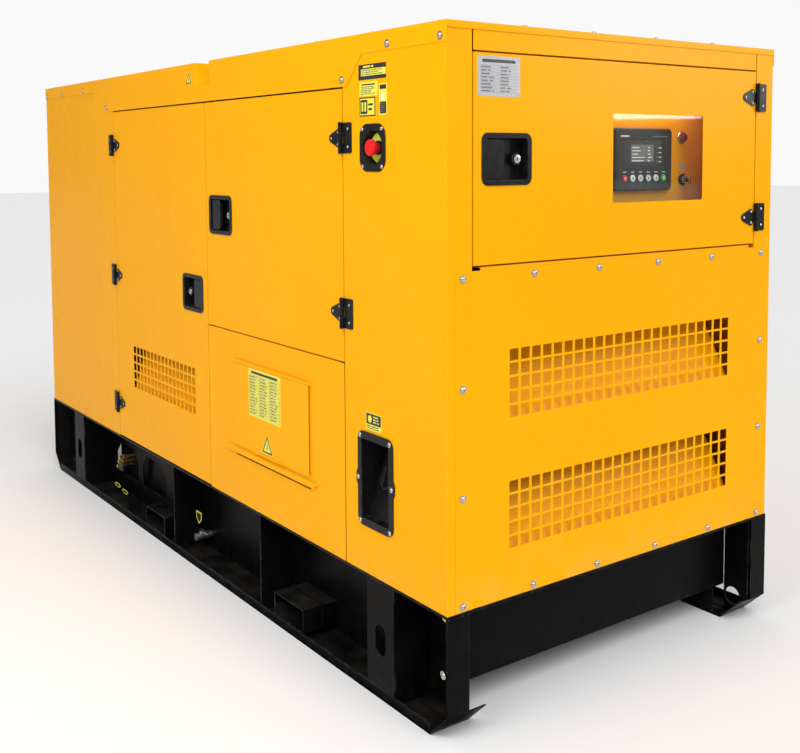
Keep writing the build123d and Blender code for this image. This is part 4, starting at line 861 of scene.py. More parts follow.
def latch_centre(door):
    """Middle of a latch's bezel on the wall skin, from its paddle and its fittings."""
    low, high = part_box("paddle_" + door)
    wall = DOORS[door]
    right = WALLS[wall][0]
    middle = (low + high) / 2
    toward_lock = LATCH_LOCK_SIDE[door]
    reach = abs((high - low).dot(right)) / 2
    edge = middle.dot(right) - toward_lock * reach          # pivot edge of the paddle
    centre = skin_plane(wall) + right * (edge + toward_lock * PIVOT_TO_MIDDLE)
    centre.z = middle.z
    return centre


# ---------------------------------------------------------------- settings
def colour_property(name, text, value):
    return bpy.props.FloatVectorProperty(name=name, description=text, subtype="COLOR", size=3, min=0.0,
                                         max=1.0, default=value)


def length_property(name, text, value):
    return bpy.props.FloatProperty(name=name, description=text, unit="LENGTH", subtype="DISTANCE", min=0.0,
                                   default=value, precision=5)


def light_property(name, text, value, unit="NONE"):
    return bpy.props.FloatProperty(name=name, description=text, default=value, min=0.0, unit=unit)


def angle_property(name, text, degrees):
    return bpy.props.FloatProperty(name=name, description=text, subtype="ANGLE",
                                   default=math.radians(degrees))


class GensetFinishSettings(bpy.types.PropertyGroup):
    """Colours and sizes of the finish."""

    paint: colour_property("Canopy paint", "Colour of the canopy", (0.94, 0.415, 0.002))
    # Lighter canopy yellow for the edges: partly rubbed wear, partly a painted highlight.
    edge_rub_and_highlight_paint: colour_property("Rubbed paint", "Canopy colour where an edge is rubbed", (1.0, 0.60, 0.10))
    skid: colour_property("Skid paint", "Colour of the skid", (0.0022, 0.0023, 0.0025))
    edge_round: length_property("Sheet edge", "Rounding of folded sheet edges", 0.0006)
    plate_round: length_property("Plate edge", "Rounding of skid plate edges", 0.0011)
    label_thickness: length_property("Label film", "Thickness of a label", 0.00025)
    seal_radius: length_property("Seal", "Radius of the door seals", 0.0018)
    foam_pitch: length_property("Foam pitch", "Distance between foam peaks", 0.022)


class GensetStudioSettings(bpy.types.PropertyGroup):
    """Camera and lights."""

    floor: colour_property("Floor", "Colour of the floor", (0.87, 0.87, 0.87))
    sky: light_property("Sky", "Strength of the even light", 0.44)
    backdrop: light_property("Backdrop", "Brightness behind the floor", 0.95)
    sun: light_property("Key light", "Strength of the wide key light", 2.0)
    side: light_property("Side light", "Power of the side softbox", 34.0, "POWER")
    sheen: light_property("Window sheen", "Power of the strip mirrored in the window", 45.0, "POWER")
    cabinet: light_property("Cabinet light", "Power of the strip in the control cabinet", 0.5, "POWER")
    focal: bpy.props.FloatProperty(name="Focal length", description="Camera focal length", default=47.67,
                                   min=1.0, subtype="DISTANCE_CAMERA")
    eye: bpy.props.FloatVectorProperty(name="Camera place", description="Where the camera stands",
                                       subtype="TRANSLATION", default=(3.1331, -1.9774, 1.3058))
    heading: angle_property("Heading", "Turn of the view from -X towards +Y", 36.181)
    tilt: angle_property("Tilt", "How far the camera looks down", 4.006)
    roll: angle_property("Roll", "Camera roll", -0.251)
    shift: bpy.props.FloatVectorProperty(name="Shift", description="Lens shift", size=2,
                                         default=(-0.0118, -0.18))


# ---------------------------------------------------------------- canopy and skid
CANOPY = ("front_corner_left", "plain_corners", "lower_panels", "front_frame", "front_grille_panel",
          "rear_panel", "roof", "cable_flap", "service_door_left", "service_door_right", "output_door_left",
          "output_door_right", "control_door")
SKID = ("rail_left", "rail_right", "rail_webs", "cross_members", "fork_pockets", "fuel_tank", "lifting_frame")
FITTINGS = tuple("fittings_" + door for door in DOORS) + tuple("paddle_" + door for door in DOORS)
MACHINE = ("engine", "alternator", "radiator", "exhaust", "air_cleaner", "battery",
           "rubber_mounts", "breaker", "breaker_handle", "crank_train", "fan", "fan_belt")


class GENSET_OT_canopy(bpy.types.Operator):
    """Canopy panels and doors with folded edges and paint"""

    bl_idname = "genset.canopy"
    bl_label = "Canopy"

    def execute(self, context):
        for node in CANOPY:
            refine(node, context.scene.genset_finish.edge_round)
        return {"FINISHED"}


class GENSET_OT_skid(bpy.types.Operator):
    """Skid rails, cross panels, fork pockets and tank, with weld beads"""

    bl_idname = "genset.skid"
    bl_label = "Skid"

    def execute(self, context):
        settings = context.scene.genset_finish
        for node in SKID:
            refine(node, settings.plate_round)
        self.welds()
        for node in ("drain_fittings", "drain_valve_lever"):
            refine(node, 0.0004, ("bare_steel",), self.fitting_finish)
        return {"FINISHED"}

    @staticmethod
    def fitting_finish(place):
        """Valve parts stay bare, the tank stubs are brass."""
        return 1 if place.x > -0.3 else 0

    @staticmethod
    def welds():
        low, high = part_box("rail_left")
        rail_face = -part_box("cross_members")[1].y
        top = high.z - 0.006
        paths = []
        for side in (-1, 1):
            face = side * (abs(rail_face) + 0.0044)
            paths.append([(low.x + 0.09, face, top), (high.x - 0.09, face, top)])
            paths.append([(low.x + 0.09, face, 0.0065), (high.x - 0.09, face, 0.0065)])
            for node_low, node_high in node_islands("fork_pockets"):
                x0, x1 = node_low.x - 0.001, node_high.x + 0.001
                z1 = node_high.z + 0.001
                paths.append([(x0, face, node_low.z), (x0, face, z1), (x1, face, z1), (x1, face, node_low.z)])
        piece = path_piece("skid_welds", paths)
        bead_recipe().apply(piece, {"Radius": 0.0032, "Pitch": 0.0048,
                                    "Finish": Shop.finishes["black_paint"]})
        ride_in(piece, "frame", "black_paint")


class GENSET_OT_machine(bpy.types.Operator):
    """Engine, generator and the rest of the running gear inside"""

    bl_idname = "genset.machine"
    bl_label = "Running gear"

    def execute(self, context):
        for node in MACHINE:
            refine(node, 0.0012 if node in ("engine", "alternator", "battery") else 0.0006)
        return {"FINISHED"}


class GENSET_OT_fasteners(bpy.types.Operator):
    """Canopy bolts, hinge screws and the hinges themselves"""

    bl_idname = "genset.fasteners"
    bl_label = "Fasteners"

    def execute(self, context):
        self.canopy_bolts()
        spots = hinge_spots()

        def pin_finish(place):
            """Hinge pins are bright, leaves are black."""
            _, _, centre, _ = min(spots, key=lambda spot: (spot[2] - place).length)
            return 1 if math.hypot(centre.x - place.x, centre.y - place.y) < PIN_REACH else 0

        refine("hinge_leaves", 0.0004, ("zinc_bolt",), pin_finish)
        self.hinge_screws(spots)
        return {"FINISHED"}

    @staticmethod
    def canopy_bolts():
        middle = (CAD_BOX[0] + CAD_BOX[1]) / 2
        places = []
        for low, high in node_islands("canopy_bolts"):
            size = high - low
            axis = min(range(3), key=lambda k: size[k])
            centre = (low + high) / 2
            outward = Vector((0, 0, 0))
            outward[axis] = 1.0 if centre[axis] > middle[axis] else -1.0
            base = Vector(centre)
            base[axis] = low[axis] if outward[axis] > 0 else high[axis]
            places.append((base, outward))
        if len(places) < 40:
            raise RuntimeError("the bolts could not be told apart")
        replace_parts(fasteners("canopy_bolt_heads", places, "frame", "canopy"), "canopy_bolts")

    @staticmethod
    def hinge_screws(spots):
        fixed, moving = [], {}
        for door, wall, centre, toward in spots:
            right, up, out = WALLS[wall]
            face = skin_plane(wall) + out * HINGE_LEAF
            base = Vector(centre)
            base -= out * (base - face).dot(out)
            for u, v in ((17, 15), (17, -15), (47, 0)):
                moving.setdefault(door, []).append((base + right * toward * u * MM + up * v * MM, out))
            for u, v in ((-27, 22), (-27, -22)):
                fixed.append((base + right * toward * u * MM + up * v * MM, out))
        fasteners("hinge_screws_fixed", fixed, "frame", "hinge_fixed")
        for door, places in moving.items():
            fasteners("hinge_screws_" + door, places, NODE_BODY["fittings_" + door], "hinge_moving")


class GENSET_OT_latches(bpy.types.Operator):
    """Paddle latches with their lock barrels"""

    bl_idname = "genset.latches"
    bl_label = "Latches"

    def execute(self, context):
        for node in FITTINGS:
            refine(node, 0.0009 if node.startswith("paddle") else 0.0012, segments=3)
        for door, wall in DOORS.items():
            self.lock_barrel(door, wall)
        return {"FINISHED"}

    @staticmethod
    def lock_barrel(door, wall):
        """Bright key barrel with a slot, standing on the boss in the cup."""
        toward = LATCH_LOCK_SIDE[door]
        centre = latch_centre(door) + WALLS[wall][0] * toward * LOCK_REACH
        matrix = wall_matrix(wall, centre)
        shape = Shape("lock_barrel_" + door)
        profile = [(0.0, -0.0095), (0.0098, -0.0095), (0.0098, -0.0075), (0.0092, -0.0066), (0.0078, -0.0064),
                   (0.0074, -0.0070), (0.0, -0.0070)]
        shape.lathe(matrix, profile, "zinc_bolt", 32)
        shape.slab(matrix, rectangle(-0.0011, 0.0011, -0.0045, 0.0045), -0.0072, -0.0066, "ink")
        shape.slab(matrix, ellipse(0, 0, 0.0022, 0.0022, 12), -0.0072, -0.00655, "ink")
        shape.make(NODE_BODY["fittings_" + door], "zinc_bolt")


class GENSET_OT_doors(bpy.types.Operator):
    """Door seals and sound foam"""

    bl_idname = "genset.doors"
    bl_label = "Seals and foam"

    def execute(self, context):
        settings = context.scene.genset_finish
        for door, wall in DOORS.items():
            node = door_node(door)
            self.seal(settings, node, wall)
            self.line(settings, node, door, wall)
        return {"FINISHED"}

    @staticmethod
    def door_frame(node, wall):
        """The door's centre on its inner edge, and its half width and half height."""
        low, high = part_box(node)
        right, _, out = WALLS[wall]
        centre = (low + high) / 2
        centre += out * (skin_plane(wall) - centre).dot(out)
        return centre, abs((high - low).dot(right)) / 2, (high.z - low.z) / 2

    def seal(self, settings, node, wall):
        centre, half_u, half_v = self.door_frame(node, wall)
        matrix = wall_matrix(wall, centre)
        inset = 0.0035
        depth = -0.025 - settings.seal_radius - 0.0001
        corners = rounded(-half_u + inset, half_u - inset, -half_v + inset, half_v - inset, 0.012, 4)
        path = [tuple(matrix @ Vector((u, v, depth))) for u, v in corners]
        piece = path_piece("seal_" + node, [path], closed=True)
        profile_recipe().apply(piece, {"Radius": settings.seal_radius, "Sides": 8,
                                       "Finish": Shop.finishes["belt_rubber"]}, 80)
        ride_in(piece, NODE_BODY[node], "belt_rubber")

    def line(self, settings, node, door, wall):
        """Foam in the door's tray, left out round the latch, the grille and the window."""
        centre, half_u, half_v = self.door_frame(node, wall)
        latch = latch_centre(door) - centre
        latch_u, latch_v = latch.dot(WALLS[wall][0]), latch.z
        edge = 0.006
        low_v = -half_v + edge
        if door.startswith("service"):
            low_v = GRILLE_TOP - centre.z + 0.03
        clear_u, clear_v = 0.075, 0.060
        zones = [(-half_u + edge, half_u - edge, latch_v + clear_v, half_v - edge)]
        if door == "control":
            zones = [(-half_u + edge, half_u - edge, low_v, latch_v - clear_v - 0.06)]
        else:
            zones.append((-half_u + edge, half_u - edge, low_v, latch_v - clear_v))
            if latch_u > 0:
                zones.append((-half_u + edge, latch_u - clear_u, latch_v - clear_v, latch_v + clear_v))
            else:
                zones.append((latch_u + clear_u, half_u - edge, latch_v - clear_v, latch_v + clear_v))
        recipe = foam_recipe()
        made = []
        turn = wall_matrix(wall, centre)
        for u0, u1, v0, v1 in zones:
            piece = points_piece("foam_zone", [((0, 0, 0), (0, 0, 1))])
            recipe.apply(piece, {"Width": u1 - u0, "Height": v1 - v0, "Pitch": settings.foam_pitch,
                                 "Sheet": 0.009, "Peak": 0.009, "Finish": Shop.finishes["foam"]}, 20)
            local = Matrix.Translation(((u0 + u1) / 2, (v0 + v1) / 2, -0.0023))
            piece.data.transform(turn @ local @ Matrix.Rotation(math.pi, 4, "Y"))
            made.append(piece)
        bm = bmesh.new()
        for piece in made:
            bm.from_mesh(piece.data)
            bpy.data.objects.remove(piece)
        mesh = bpy.data.meshes.new("foam_" + node)
        bm.to_mesh(mesh)
        bm.free()
        mesh.materials.append(Shop.finishes["foam"])
        ride_in(put_in_scene("foam_" + node, mesh), NODE_BODY[node], "belt_rubber")


class GENSET_OT_controls(bpy.types.Operator):
    """Window, cabinet front, controller, lamp and key switch"""

    bl_idname = "genset.controls"
    bl_label = "Controls"

    def execute(self, context):
        refine("control_panel", 0.0006, ("red_lens", "black_plastic"), self.panel_finish)
        refine("controller", 0.0006)
        for index in range(6):
            refine("controller_button_" + str(index + 1), 0.0004)
        refine("window_pane", 0.0003)
        self.controller_front()
        self.key()
        self.panel_screws()
        return {"FINISHED"}

    @staticmethod
    def panel_finish(place):
        """Cabinet yellow, lamp red, switch barrel black."""
        if place.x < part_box("control_panel")[1].x - CABINET_LIP + 0.0001:
            return 0
        return 1 if place.z > 1.3 else 2

    @staticmethod
    def controller_front():
        low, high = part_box("controller")
        y, z = (low.y + high.y) / 2, (low.z + high.z) / 2
        shape = Shape("controller_front")
        matrix = wall_matrix("front", (high.x, y, z))
        shape.slab(matrix, rounded(-0.0715, 0.0715, -0.0155, 0.0515, 0.003), -0.003, -0.0012, "screen")
        shape.slab(matrix, rounded(-0.050, 0.036, -0.006, 0.038, 0.001), -0.0012, -0.0011, "grey_ink")
        rng = random.Random(4)
        for row in range(5):
            v = 0.031 - row * 0.0085
            for start, least, spread in ((-0.046, 0.02, 0.03), (0.014, 0.006, 0.012)):
                end = start + least + rng.random() * spread
                shape.slab(matrix, rectangle(start, end, v - 0.0012, v + 0.0012), -0.0011, -0.0010, "white")
        for row in range(4):
            v = 0.030 - row * 0.012
            shape.slab(matrix, ellipse(0.050, v, 0.0018, 0.0018, 12), -0.0012, -0.0008, "led")
            shape.slab(matrix, rectangle(0.056, 0.066, v - 0.001, v + 0.001), -0.0012, -0.0010, "white")
        for u in (-0.064, -0.058):
            shape.slab(matrix, ellipse(u, 0.044, 0.0015, 0.0015, 12), -0.0012, -0.0008, "red_lens")
        shape.slab(matrix, rectangle(-0.090, -0.058, 0.058, 0.0615), 0.0, 0.0002, "white")
        shape.slab(matrix, rectangle(0.030, 0.090, 0.0585, 0.0610), 0.0, 0.0002, "grey_ink")
        for index in range(6):
            b_low, b_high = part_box("controller_button_" + str(index + 1))
            u = (b_low.y + b_high.y) / 2 - y
            shape.slab(matrix, rectangle(u - 0.006, u + 0.006, -0.033, -0.0312), 0.0, 0.0002, "white")
            shape.slab(matrix, rectangle(u - 0.004, u + 0.004, -0.064, -0.0626), 0.0, 0.0002, "grey_ink")
            mark = Shape("button_mark_" + str(index + 1))
            front = wall_matrix("front", (b_high.x, y + u, (b_low.z + b_high.z) / 2))
            if index in (0, 5):
                mark.slab(front, ellipse(0, 0, 0.0042, 0.0042, 20), -0.0002, 0.0003, "white")
                mark.slab(front, ellipse(0, 0, 0.0028, 0.0028, 20), 0.0002, 0.0004,
                          "button_red" if index == 0 else "button_green")
            else:
                mark.slab(front, triangle(0, 0, 0.0062), -0.0002, 0.0003, "ink")
            mark.make("controller_button_" + str(index + 1), "button_white")
        shape.make("frame", "controller_case")

    @staticmethod
    def key():
        refine("key_switch", 0.0005)
        low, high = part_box("key_switch")
        y, z = (low.y + high.y) / 2, (low.z + high.z) / 2
        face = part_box("control_panel")[1].x - CABINET_LIP
        shape = Shape("key_switch_plate")
        matrix = wall_matrix("front", (face, y, z))
        for index in range(3):
            angle = math.radians(60 + 60 * index)
            u, v = 0.0215 * math.cos(angle), 0.0215 * math.sin(angle)
            shape.slab(matrix, ellipse(u, v, 0.0016, 0.0016, 10), -0.0002, 0.0003, "ink")
        shape.slab(matrix, rectangle(-0.012, 0.012, 0.028, 0.042), -0.0002, 0.0004, "silver")
        lamp = wall_matrix("front", (face, 0.295, 1.358))
        shape.lathe(lamp, [(0.0138, 0.0), (0.0165, 0.0), (0.0165, 0.003), (0.0150, 0.0048), (0.0112, 0.0052)],
                    "zinc_bolt", 32)
        shape.make("frame", "yellow_paint")

    @staticmethod
    def panel_screws():
        low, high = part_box("control_panel")
        face = high.x - CABINET_LIP
        out = Vector((1, 0, 0))
        places = []
        for y in (low.y + 0.014, low.y * 0.33, high.y * 0.40, high.y - 0.014):
            for z in (1.097, 1.508):
                places.append((Vector((face, y, z)), out))
        fasteners("cabinet_screws", places, "frame", "cabinet")


class GENSET_OT_emergency_stop(bpy.types.Operator):
    """Emergency stop: bezel, screws, yellow disc and mushroom head"""

    bl_idname = "genset.emergency_stop"
    bl_label = "Emergency stop"

    def execute(self, context):
        refine("estop_bezel", 0.0010, segments=3)
        low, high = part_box("estop_bezel")
        centre = (low + high) / 2
        centre.y = low.y
        out = Vector((0, -1, 0))
        places = [(centre + Vector((u * MM, 0, v * MM)), out) for u in (-40, 40) for v in (-44, 44)]
        fasteners("stop_screws", places, "frame", "stop")
        self.disc(centre, high.y)
        self.head()
        return {"FINISHED"}

    @staticmethod
    def disc(centre, back):
        """Yellow ring on the floor of the bowl."""
        shape = Shape("stop_disc")
        matrix = wall_matrix("left", (centre.x, back - 0.0032, centre.z))
        profile = [(0.0172, 0.0002), (0.036, 0.0002), (0.036, 0.0008), (0.0172, 0.0008)]
        shape.lathe(matrix, profile, "lemon", 40)
        shape.make("frame", "yellow_paint")

    @staticmethod
    def head():
        """Mushroom with a rolled rim and a shallow dish."""
        low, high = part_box("estop_button")
        centre = (low + high) / 2
        depth = high.y - low.y
        shape = Shape("stop_mushroom")
        matrix = wall_matrix("left", (centre.x, low.y, centre.z))
        profile = [(0.0119, -depth), (0.0119, -0.0122), (0.0175, -0.0120), (0.0193, -0.0108),
                   (0.0199, -0.0085), (0.0199, -0.0060), (0.0192, -0.0034), (0.0176, -0.0014),
                   (0.0150, -0.0003), (0.0120, 0.0), (0.0095, -0.0004), (0.0060, -0.0009), (0.0, -0.0011)]
        shape.lathe(matrix, profile, "red_plastic", 48)
        piece = shape.make("estop_button", "red_plastic")
        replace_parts(piece, "estop_button")


class GENSET_OT_filler(bpy.types.Operator):
    """Fuel filler recess, its screws and the ribbed cap"""

    bl_idname = "genset.filler"
    bl_label = "Fuel filler"

    def execute(self, context):
        refine("filler_box", 0.0010, segments=3)
        refine("filler_cap", 0.0012, segments=3)
        low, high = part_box("filler_box")
        centre = (low + high) / 2
        out = Vector((0, -1, 0))
        places = []
        for u, v in ((-62, -106), (62, -106), (-62, 106), (62, 106), (-70, 0), (70, 0)):
            places.append((Vector((centre.x + u * MM, low.y, centre.z + v * MM)), out))
        fasteners("filler_screws", places, "frame", "filler")
        self.cap_ribs()
        return {"FINISHED"}

    @staticmethod
    def cap_ribs():
        """Grip ribs round the cap, along the neck's own slope."""
        joint = next(j for j in frame["joints"] if j["name"] == "filler_cap_turn")
        axis = Vector(joint["axis"])
        piece = points_piece("filler_cap_ribs", [((0, 0, 0), (0, 0, 1))])
        rib_recipe().apply(piece, {"Radius": 0.0299, "Count": 40, "Rib Width": 0.0016, "Rib Length": 0.0140,
                                   "Finish": Shop.finishes["black_plastic"]})
        matrix = axis_matrix(axis, Vector(joint["pos_m"]) + axis * 0.010)
        piece.data.transform(matrix)
        ride_in(piece, "filler_cap", "black_plastic")


class Label:
    """Sheets and rows of print stuck on one wall, in layers one film thick."""

    def __init__(self, name, wall, place, film):
        self.shape = Shape(name)
        self.matrix = wall_matrix(wall, place)
        self.film = film

    def flat(self, outline, low, high, slot):
        """A flat figure between two layers; the lowest is pressed into the paint."""
        base = self.film * low if low else -PRESSED
        self.shape.slab(self.matrix, outline, base, self.film * high, slot)

    def sheet(self, box, slot, radius=1.5, level=0):
        """A sheet with round corners, in millimetres along the wall."""
        u0, u1, v0, v1 = (value * MM for value in box)
        self.flat(rounded(u0, u1, v0, v1, radius * MM, 3), level, level + 1, slot)

    def words(self, box, rows, slot, seed, level=1, fill=0.92, tall=0.45):
        """Rows of dashes of uneven length, where a label would carry print."""
        rng = random.Random(seed)
        u0, u1, v0, v1 = (value * MM for value in box)
        pitch = (v1 - v0) / rows
        for row in range(rows):
            v = v1 - (row + 0.5) * pitch
            u = u0
            end = u0 + (u1 - u0) * (fill - 0.25 * rng.random())
            while u < end:
                size = min(pitch * (1.2 + 3.2 * rng.random()), end - u)
                if size > pitch * 0.4:
                    dash = rectangle(u, u + size, v - pitch * tall / 2, v + pitch * tall / 2)
                    self.flat(dash, level, level + 0.6, slot)
                u += size + pitch * 0.55

    def warning_triangle(self, u, v, side):
        """Black-edged yellow triangle with a plain bar."""
        self.flat(triangle(u, v, side * 1.10), 0, 1, "lemon")
        self.flat(triangle(u, v, side), 1, 1.8, "ink")
        self.flat(triangle(u, v, side * 0.72), 1.8, 2.6, "lemon")
        bar = side * 0.03
        self.flat(rectangle(u - bar, u + bar, v - side * 0.10, v + side * 0.20), 2.6, 3.4, "ink")


class GENSET_OT_labels(bpy.types.Operator):
    """Plain labels with printed bars"""

    bl_idname = "genset.labels"
    bl_label = "Labels"

    def execute(self, context):
        self.film = context.scene.genset_finish.label_thickness
        self.stop_labels()
        self.filler_label()
        self.data_sheet()
        self.nameplate()
        self.marks()
        return {"FINISHED"}

    def stop_labels(self):
        label = Label("stop_labels", "left", skin_plane("left"), self.film)
        label.sheet((1010, 1125, 1491, 1527), "ink")
        label.sheet((1021, 1124, 1500, 1516), "lemon", 0.8, 1)
        label.words((1024, 1121, 1501, 1515), 3, "grey_ink", 1, 2)
        label.words((1030, 1100, 1518, 1525), 1, "lemon", 2, 1, 0.95, 0.6)
        label.sheet((1014, 1090, 1453, 1486), "lemon")
        label.sheet((1024, 1080, 1478, 1481), "ink", 0.5, 1)
        label.words((1020, 1085, 1456, 1476), 5, "grey_ink", 3)
        label.sheet((1014, 1080, 1405, 1450), "ink")
        label.sheet((1017, 1077, 1408, 1447), "lemon", 1.0, 1)
        label.sheet((1019, 1048, 1411, 1444), "ink", 3.0, 2)
        for low, high in ((1024, 1031), (1036, 1043)):
            label.sheet((low, high, 1416, 1439), "lemon", 2.5, 3)
        label.words((1052, 1074, 1416, 1438), 2, "ink", 7, 2)
        label.sheet((1096, 1128, 1407, 1479), "lemon")
        label.sheet((1099, 1125, 1466, 1476), "ink", 0.8, 1)
        label.sheet((1099, 1125, 1410, 1437), "ink", 0.8, 1)
        label.words((1101, 1123, 1412, 1435), 5, "grey_ink", 8, 2)
        label.flat(ellipse(1.112, 1.449, 0.006, 0.008, 20), 1, 2, "white")
        label.shape.make("frame", "yellow_paint")

    def filler_label(self):
        label = Label("filler_label", "left", skin_plane("left"), self.film)
        label.sheet((1032, 1097, 654, 696), "lemon")
        label.sheet((1034, 1095, 668, 694), "ink", 1.0, 1)
        label.flat(ellipse(1.049, 0.681, 0.008, 0.009, 20), 2, 3, "lemon")
        label.words((1063, 1092, 672, 691), 3, "lemon", 12, 2)
        label.words((1036, 1093, 656, 666), 2, "ink", 13)
        label.shape.make("frame", "yellow_paint")

    def data_sheet(self):
        """Yellow table on the cable flap, and the triangle under it."""
        flap_face = (0, skin_plane("left").y - 0.006, 0)
        label = Label("data_sheet", "left", flap_face, self.film)
        u0, u1, v0, v1 = 437, 621, 573, 710
        label.sheet((u0, u1, v0, v1), "lemon", 3.0)
        label.sheet((u0 + 16, u1 - 16, v1 - 13, v1 - 6), "ink", 1.0, 1)
        top = v1 - 18
        rows = 13
        pitch = (top - v0 - 6) / rows
        for row in range(rows + 1):
            v = top - row * pitch
            label.sheet((u0 + 5, u1 - 5, v - 0.3, v + 0.3), "grey_ink", 0.1, 1)
        for u in (u0 + 5, u0 + 62, u1 - 62, u1 - 5):
            label.sheet((u - 0.3, u + 0.3, top - rows * pitch, top), "grey_ink", 0.1, 1)
        label.words((u0 + 8, u0 + 58, top - rows * pitch, top), rows, "grey_ink", 14, 1, 0.85, 0.35)
        label.words((u0 + 66, u1 - 66, top - rows * pitch, top), rows, "grey_ink", 15, 1, 0.85, 0.35)
        label.words((u1 - 58, u1 - 8, top - rows * pitch, top), rows, "grey_ink", 16, 1, 0.85, 0.35)
        label.warning_triangle(0.543, 0.499, 0.058)
        label.shape.make("cable_flap", "yellow_paint")

    def nameplate(self):
        label = Label("nameplate", "front", skin_plane("front"), self.film)
        u0, u1, v0, v1 = -487, -363, 1441, 1529
        label.sheet((u0, u1, v0, v1), "silver", 3.0)
        label.sheet((u0 + 14, u1 - 14, v1 - 14, v1 - 7), "ink", 1.0, 1)
        for row in range(9):
            v = v1 - 20 - row * 7.4
            label.sheet((u0 + 8, u1 - 8, v - 0.25, v + 0.25), "grey_ink", 0.1, 1)
        middle = (u0 + u1) / 2
        label.words((u0 + 10, middle - 4, v0 + 8, v1 - 20), 8, "grey_ink", 17, 1, 0.8, 0.4)
        label.words((middle + 4, u1 - 10, v0 + 8, v1 - 20), 8, "grey_ink", 18, 1, 0.7, 0.4)
        for u in (u0 + 4.5, u1 - 4.5):
            for v in (v0 + 4.5, v1 - 4.5):
                place = label.matrix @ Vector((u * MM, v * MM, 0))
                rivet = [(0.0019, 0.0), (0.0019, 0.0008), (0.0012, 0.0013), (0.0, 0.0014)]
                label.shape.lathe(wall_matrix("front", place), rivet, "zinc_bolt", 12)
        label.shape.make("control_door", "yellow_paint")

    def marks(self):
        """Small marks on the roof skirt, the side wall and the end of the skid."""
        label = Label("small_marks", "left", (0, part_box("roof")[0].y, 0), self.film)
        label.warning_triangle(0.060, 1.551, 0.040)
        web_y = -abs(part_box("cross_members")[1].y) - 0.004
        label.matrix = wall_matrix("left", (0, web_y, 0))
        for u, v in ((-0.802, 0.044), (-0.727, 0.036)):
            label.flat(ellipse(u, v, 0.030, 0.0085), 0, 1, "lemon")
            label.flat(ellipse(u, v, 0.022, 0.0045), 1, 1.6, "ink")
        shield = [(-0.020, 0.020), (-0.020, -0.004), (0.0, -0.022), (0.020, -0.004), (0.020, 0.020)]
        for size, low, high, slot in ((1, 0, 1, "lemon"), (0.74, 1, 1.6, "ink")):
            outline = [(-0.065 + u * size, 0.118 + v * size) for u, v in reversed(shield)]
            label.flat(outline, low, high, slot)
        label.matrix = wall_matrix("left", (0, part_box("rail_left")[0].y + 0.063, 0))
        label.flat(ellipse(1.262, 0.252, 0.014, 0.014), 0, 1, "lemon")
        label.flat(ellipse(1.262, 0.252, 0.008, 0.008), 1, 1.6, "ink")
        label.shape.make("frame", "black_paint")


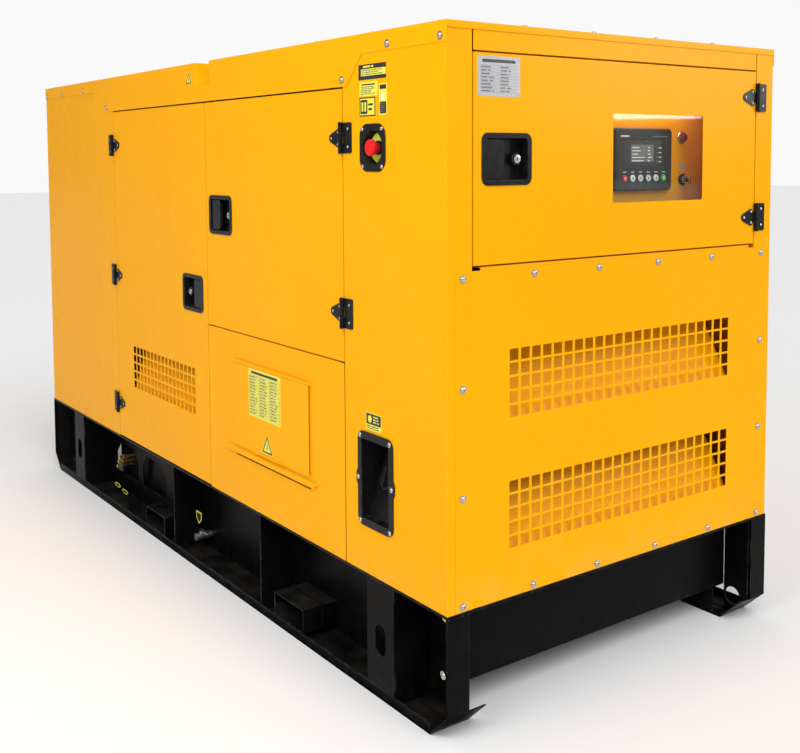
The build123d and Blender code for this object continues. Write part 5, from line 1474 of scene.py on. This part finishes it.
class GENSET_OT_studio(bpy.types.Operator):
    """Pale floor, soft lights and the camera"""

    bl_idname = "genset.studio"
    bl_label = "Studio"

    def execute(self, context):
        settings = context.scene.genset_studio
        self.floor(settings)
        self.sky(settings)
        self.key(settings)
        self.softbox("side_softbox", (1.5, -2.7, 2.5), (0.9, -0.57, 1.0), 1.6, 1.2, settings.side)
        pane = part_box("window_pane")[1]
        sheen = self.softbox("window_sheen", (3.3, 2.35, 2.05), (pane.x, 0.1, pane.z), 1.2, 1.1,
                             settings.sheen)
        sheen.visible_diffuse = False
        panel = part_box("control_panel")[1].x - CABINET_LIP
        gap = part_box("window_pane")[0].x - panel
        self.softbox("cabinet_light", (panel + gap * 0.4, 0.10, 1.49), (panel + gap * 0.3, 0.10, 1.27),
                     0.40, gap * 0.3, settings.cabinet)
        self.camera(settings)
        context.scene.view_settings.view_transform = "Standard"
        context.scene.view_settings.look = "None"
        return {"FINISHED"}

    @staticmethod
    def floor(settings):
        mesh = bpy.data.meshes.new("floor")
        half = 40.0
        mesh.from_pydata([(-half, -half, 0), (half, -half, 0), (half, half, 0), (-half, half, 0)], [],
                         [(0, 1, 2, 3)])
        f = Finish("floor_pale")
        cloud = f.noise(0.6, 3.0)
        tint = f.blend(cloud, rgba(settings.floor), shade(settings.floor, 0.985))
        mesh.materials.append(f.surface({"Base Color": tint, "Roughness": 0.7}))
        put_in_scene("floor", mesh)

    @staticmethod
    def sky(settings):
        """Even light, brighter overhead and dimmer under the horizon."""
        world = bpy.data.worlds.new("studio")
        bpy.context.scene.world = world
        world.use_nodes = True
        g = Graph(world.node_tree)
        g.tree.nodes.clear()
        way = g.add("ShaderNodeTexCoord", output="Generated")
        up = g.add("ShaderNodeSeparateXYZ", None, {"Vector": way}, "Z")
        rise = g.add("ShaderNodeMapRange", None, {"Value": up, "From Min": -0.1, "From Max": 0.7,
                                                  "To Min": 0.0, "To Max": 1.0}, "Result")
        even = (rise * 0.5 + 0.75) * settings.sky
        seen = g.add("ShaderNodeLightPath", output="Is Camera Ray")
        strength = seen * settings.backdrop + (1.0 - seen) * even
        light = g.add("ShaderNodeBackground", None, {"Color": (1.0, 1.0, 1.0, 1.0), "Strength": strength},
                      "Background")
        g.add("ShaderNodeOutputWorld", None, {"Surface": light})

    @staticmethod
    def key(settings):
        """Wide soft light from in front and above."""
        data = bpy.data.lights.new("key_light", "SUN")
        data.energy = settings.sun
        data.angle = math.radians(50)
        put_in_scene("key_light", data).matrix_world = axis_matrix((0.66, -0.17, 0.75), (0, 0, 3))

    @staticmethod
    def softbox(name, place, aim, width, tall, power):
        data = bpy.data.lights.new(name, "AREA")
        data.shape = "RECTANGLE"
        data.size = width
        data.size_y = tall
        data.energy = power
        lamp = put_in_scene(name, data)
        lamp.matrix_world = axis_matrix(Vector(place) - Vector(aim), place)
        return lamp

    @staticmethod
    def camera(settings):
        ahead = Vector((-math.cos(settings.heading) * math.cos(settings.tilt),
                        math.sin(settings.heading) * math.cos(settings.tilt), -math.sin(settings.tilt)))
        right = ahead.cross(Vector((0, 0, 1))).normalized()
        up = right.cross(ahead)
        c, s = math.cos(settings.roll), math.sin(settings.roll)
        turned = Matrix((right * c + up * s, up * c - right * s, -ahead)).transposed().to_4x4()
        data = bpy.data.cameras.new("camera")
        data.lens = settings.focal
        data.sensor_width = 36.0
        data.shift_x, data.shift_y = settings.shift
        camera = put_in_scene("camera", data)
        camera.matrix_world = Matrix.Translation(settings.eye) @ turned
        bpy.context.scene.camera = camera


# ---------------------------------------------------------------- add-on
OPERATORS = (GENSET_OT_canopy, GENSET_OT_skid, GENSET_OT_machine, GENSET_OT_fasteners,
             GENSET_OT_latches, GENSET_OT_doors, GENSET_OT_controls, GENSET_OT_emergency_stop,
             GENSET_OT_filler, GENSET_OT_labels, GENSET_OT_studio)


class GENSET_PT_panel(bpy.types.Panel):
    """Sidebar panel with the sizes, colours and steps"""

    bl_idname = "GENSET_PT_panel"
    bl_label = "Generator Finish"
    bl_space_type = "VIEW_3D"
    bl_region_type = "UI"
    bl_category = "Generator"

    def draw(self, context):
        for group in (context.scene.genset_finish, context.scene.genset_studio):
            column = self.layout.column()
            for key in group.bl_rna.properties.keys():
                if key not in ("rna_type", "name"):
                    column.prop(group, key)
        for operator in OPERATORS:
            self.layout.operator(operator.bl_idname)


CLASSES = (GensetFinishSettings, GensetStudioSettings) + OPERATORS + (GENSET_PT_panel,)


def register():
    for cls in CLASSES:
        bpy.utils.register_class(cls)
    bpy.types.Scene.genset_finish = bpy.props.PointerProperty(type=GensetFinishSettings)
    bpy.types.Scene.genset_studio = bpy.props.PointerProperty(type=GensetStudioSettings)


def unregister():
    del bpy.types.Scene.genset_studio
    del bpy.types.Scene.genset_finish
    for cls in reversed(CLASSES):
        bpy.utils.unregister_class(cls)


def main():
    register()
    Shop.finishes = make_finishes(bpy.context.scene.genset_finish)
    for operator in OPERATORS:
        group, action = operator.bl_idname.split(".")
        getattr(getattr(bpy.ops, group), action)()


if __name__ == "__main__":
    main()
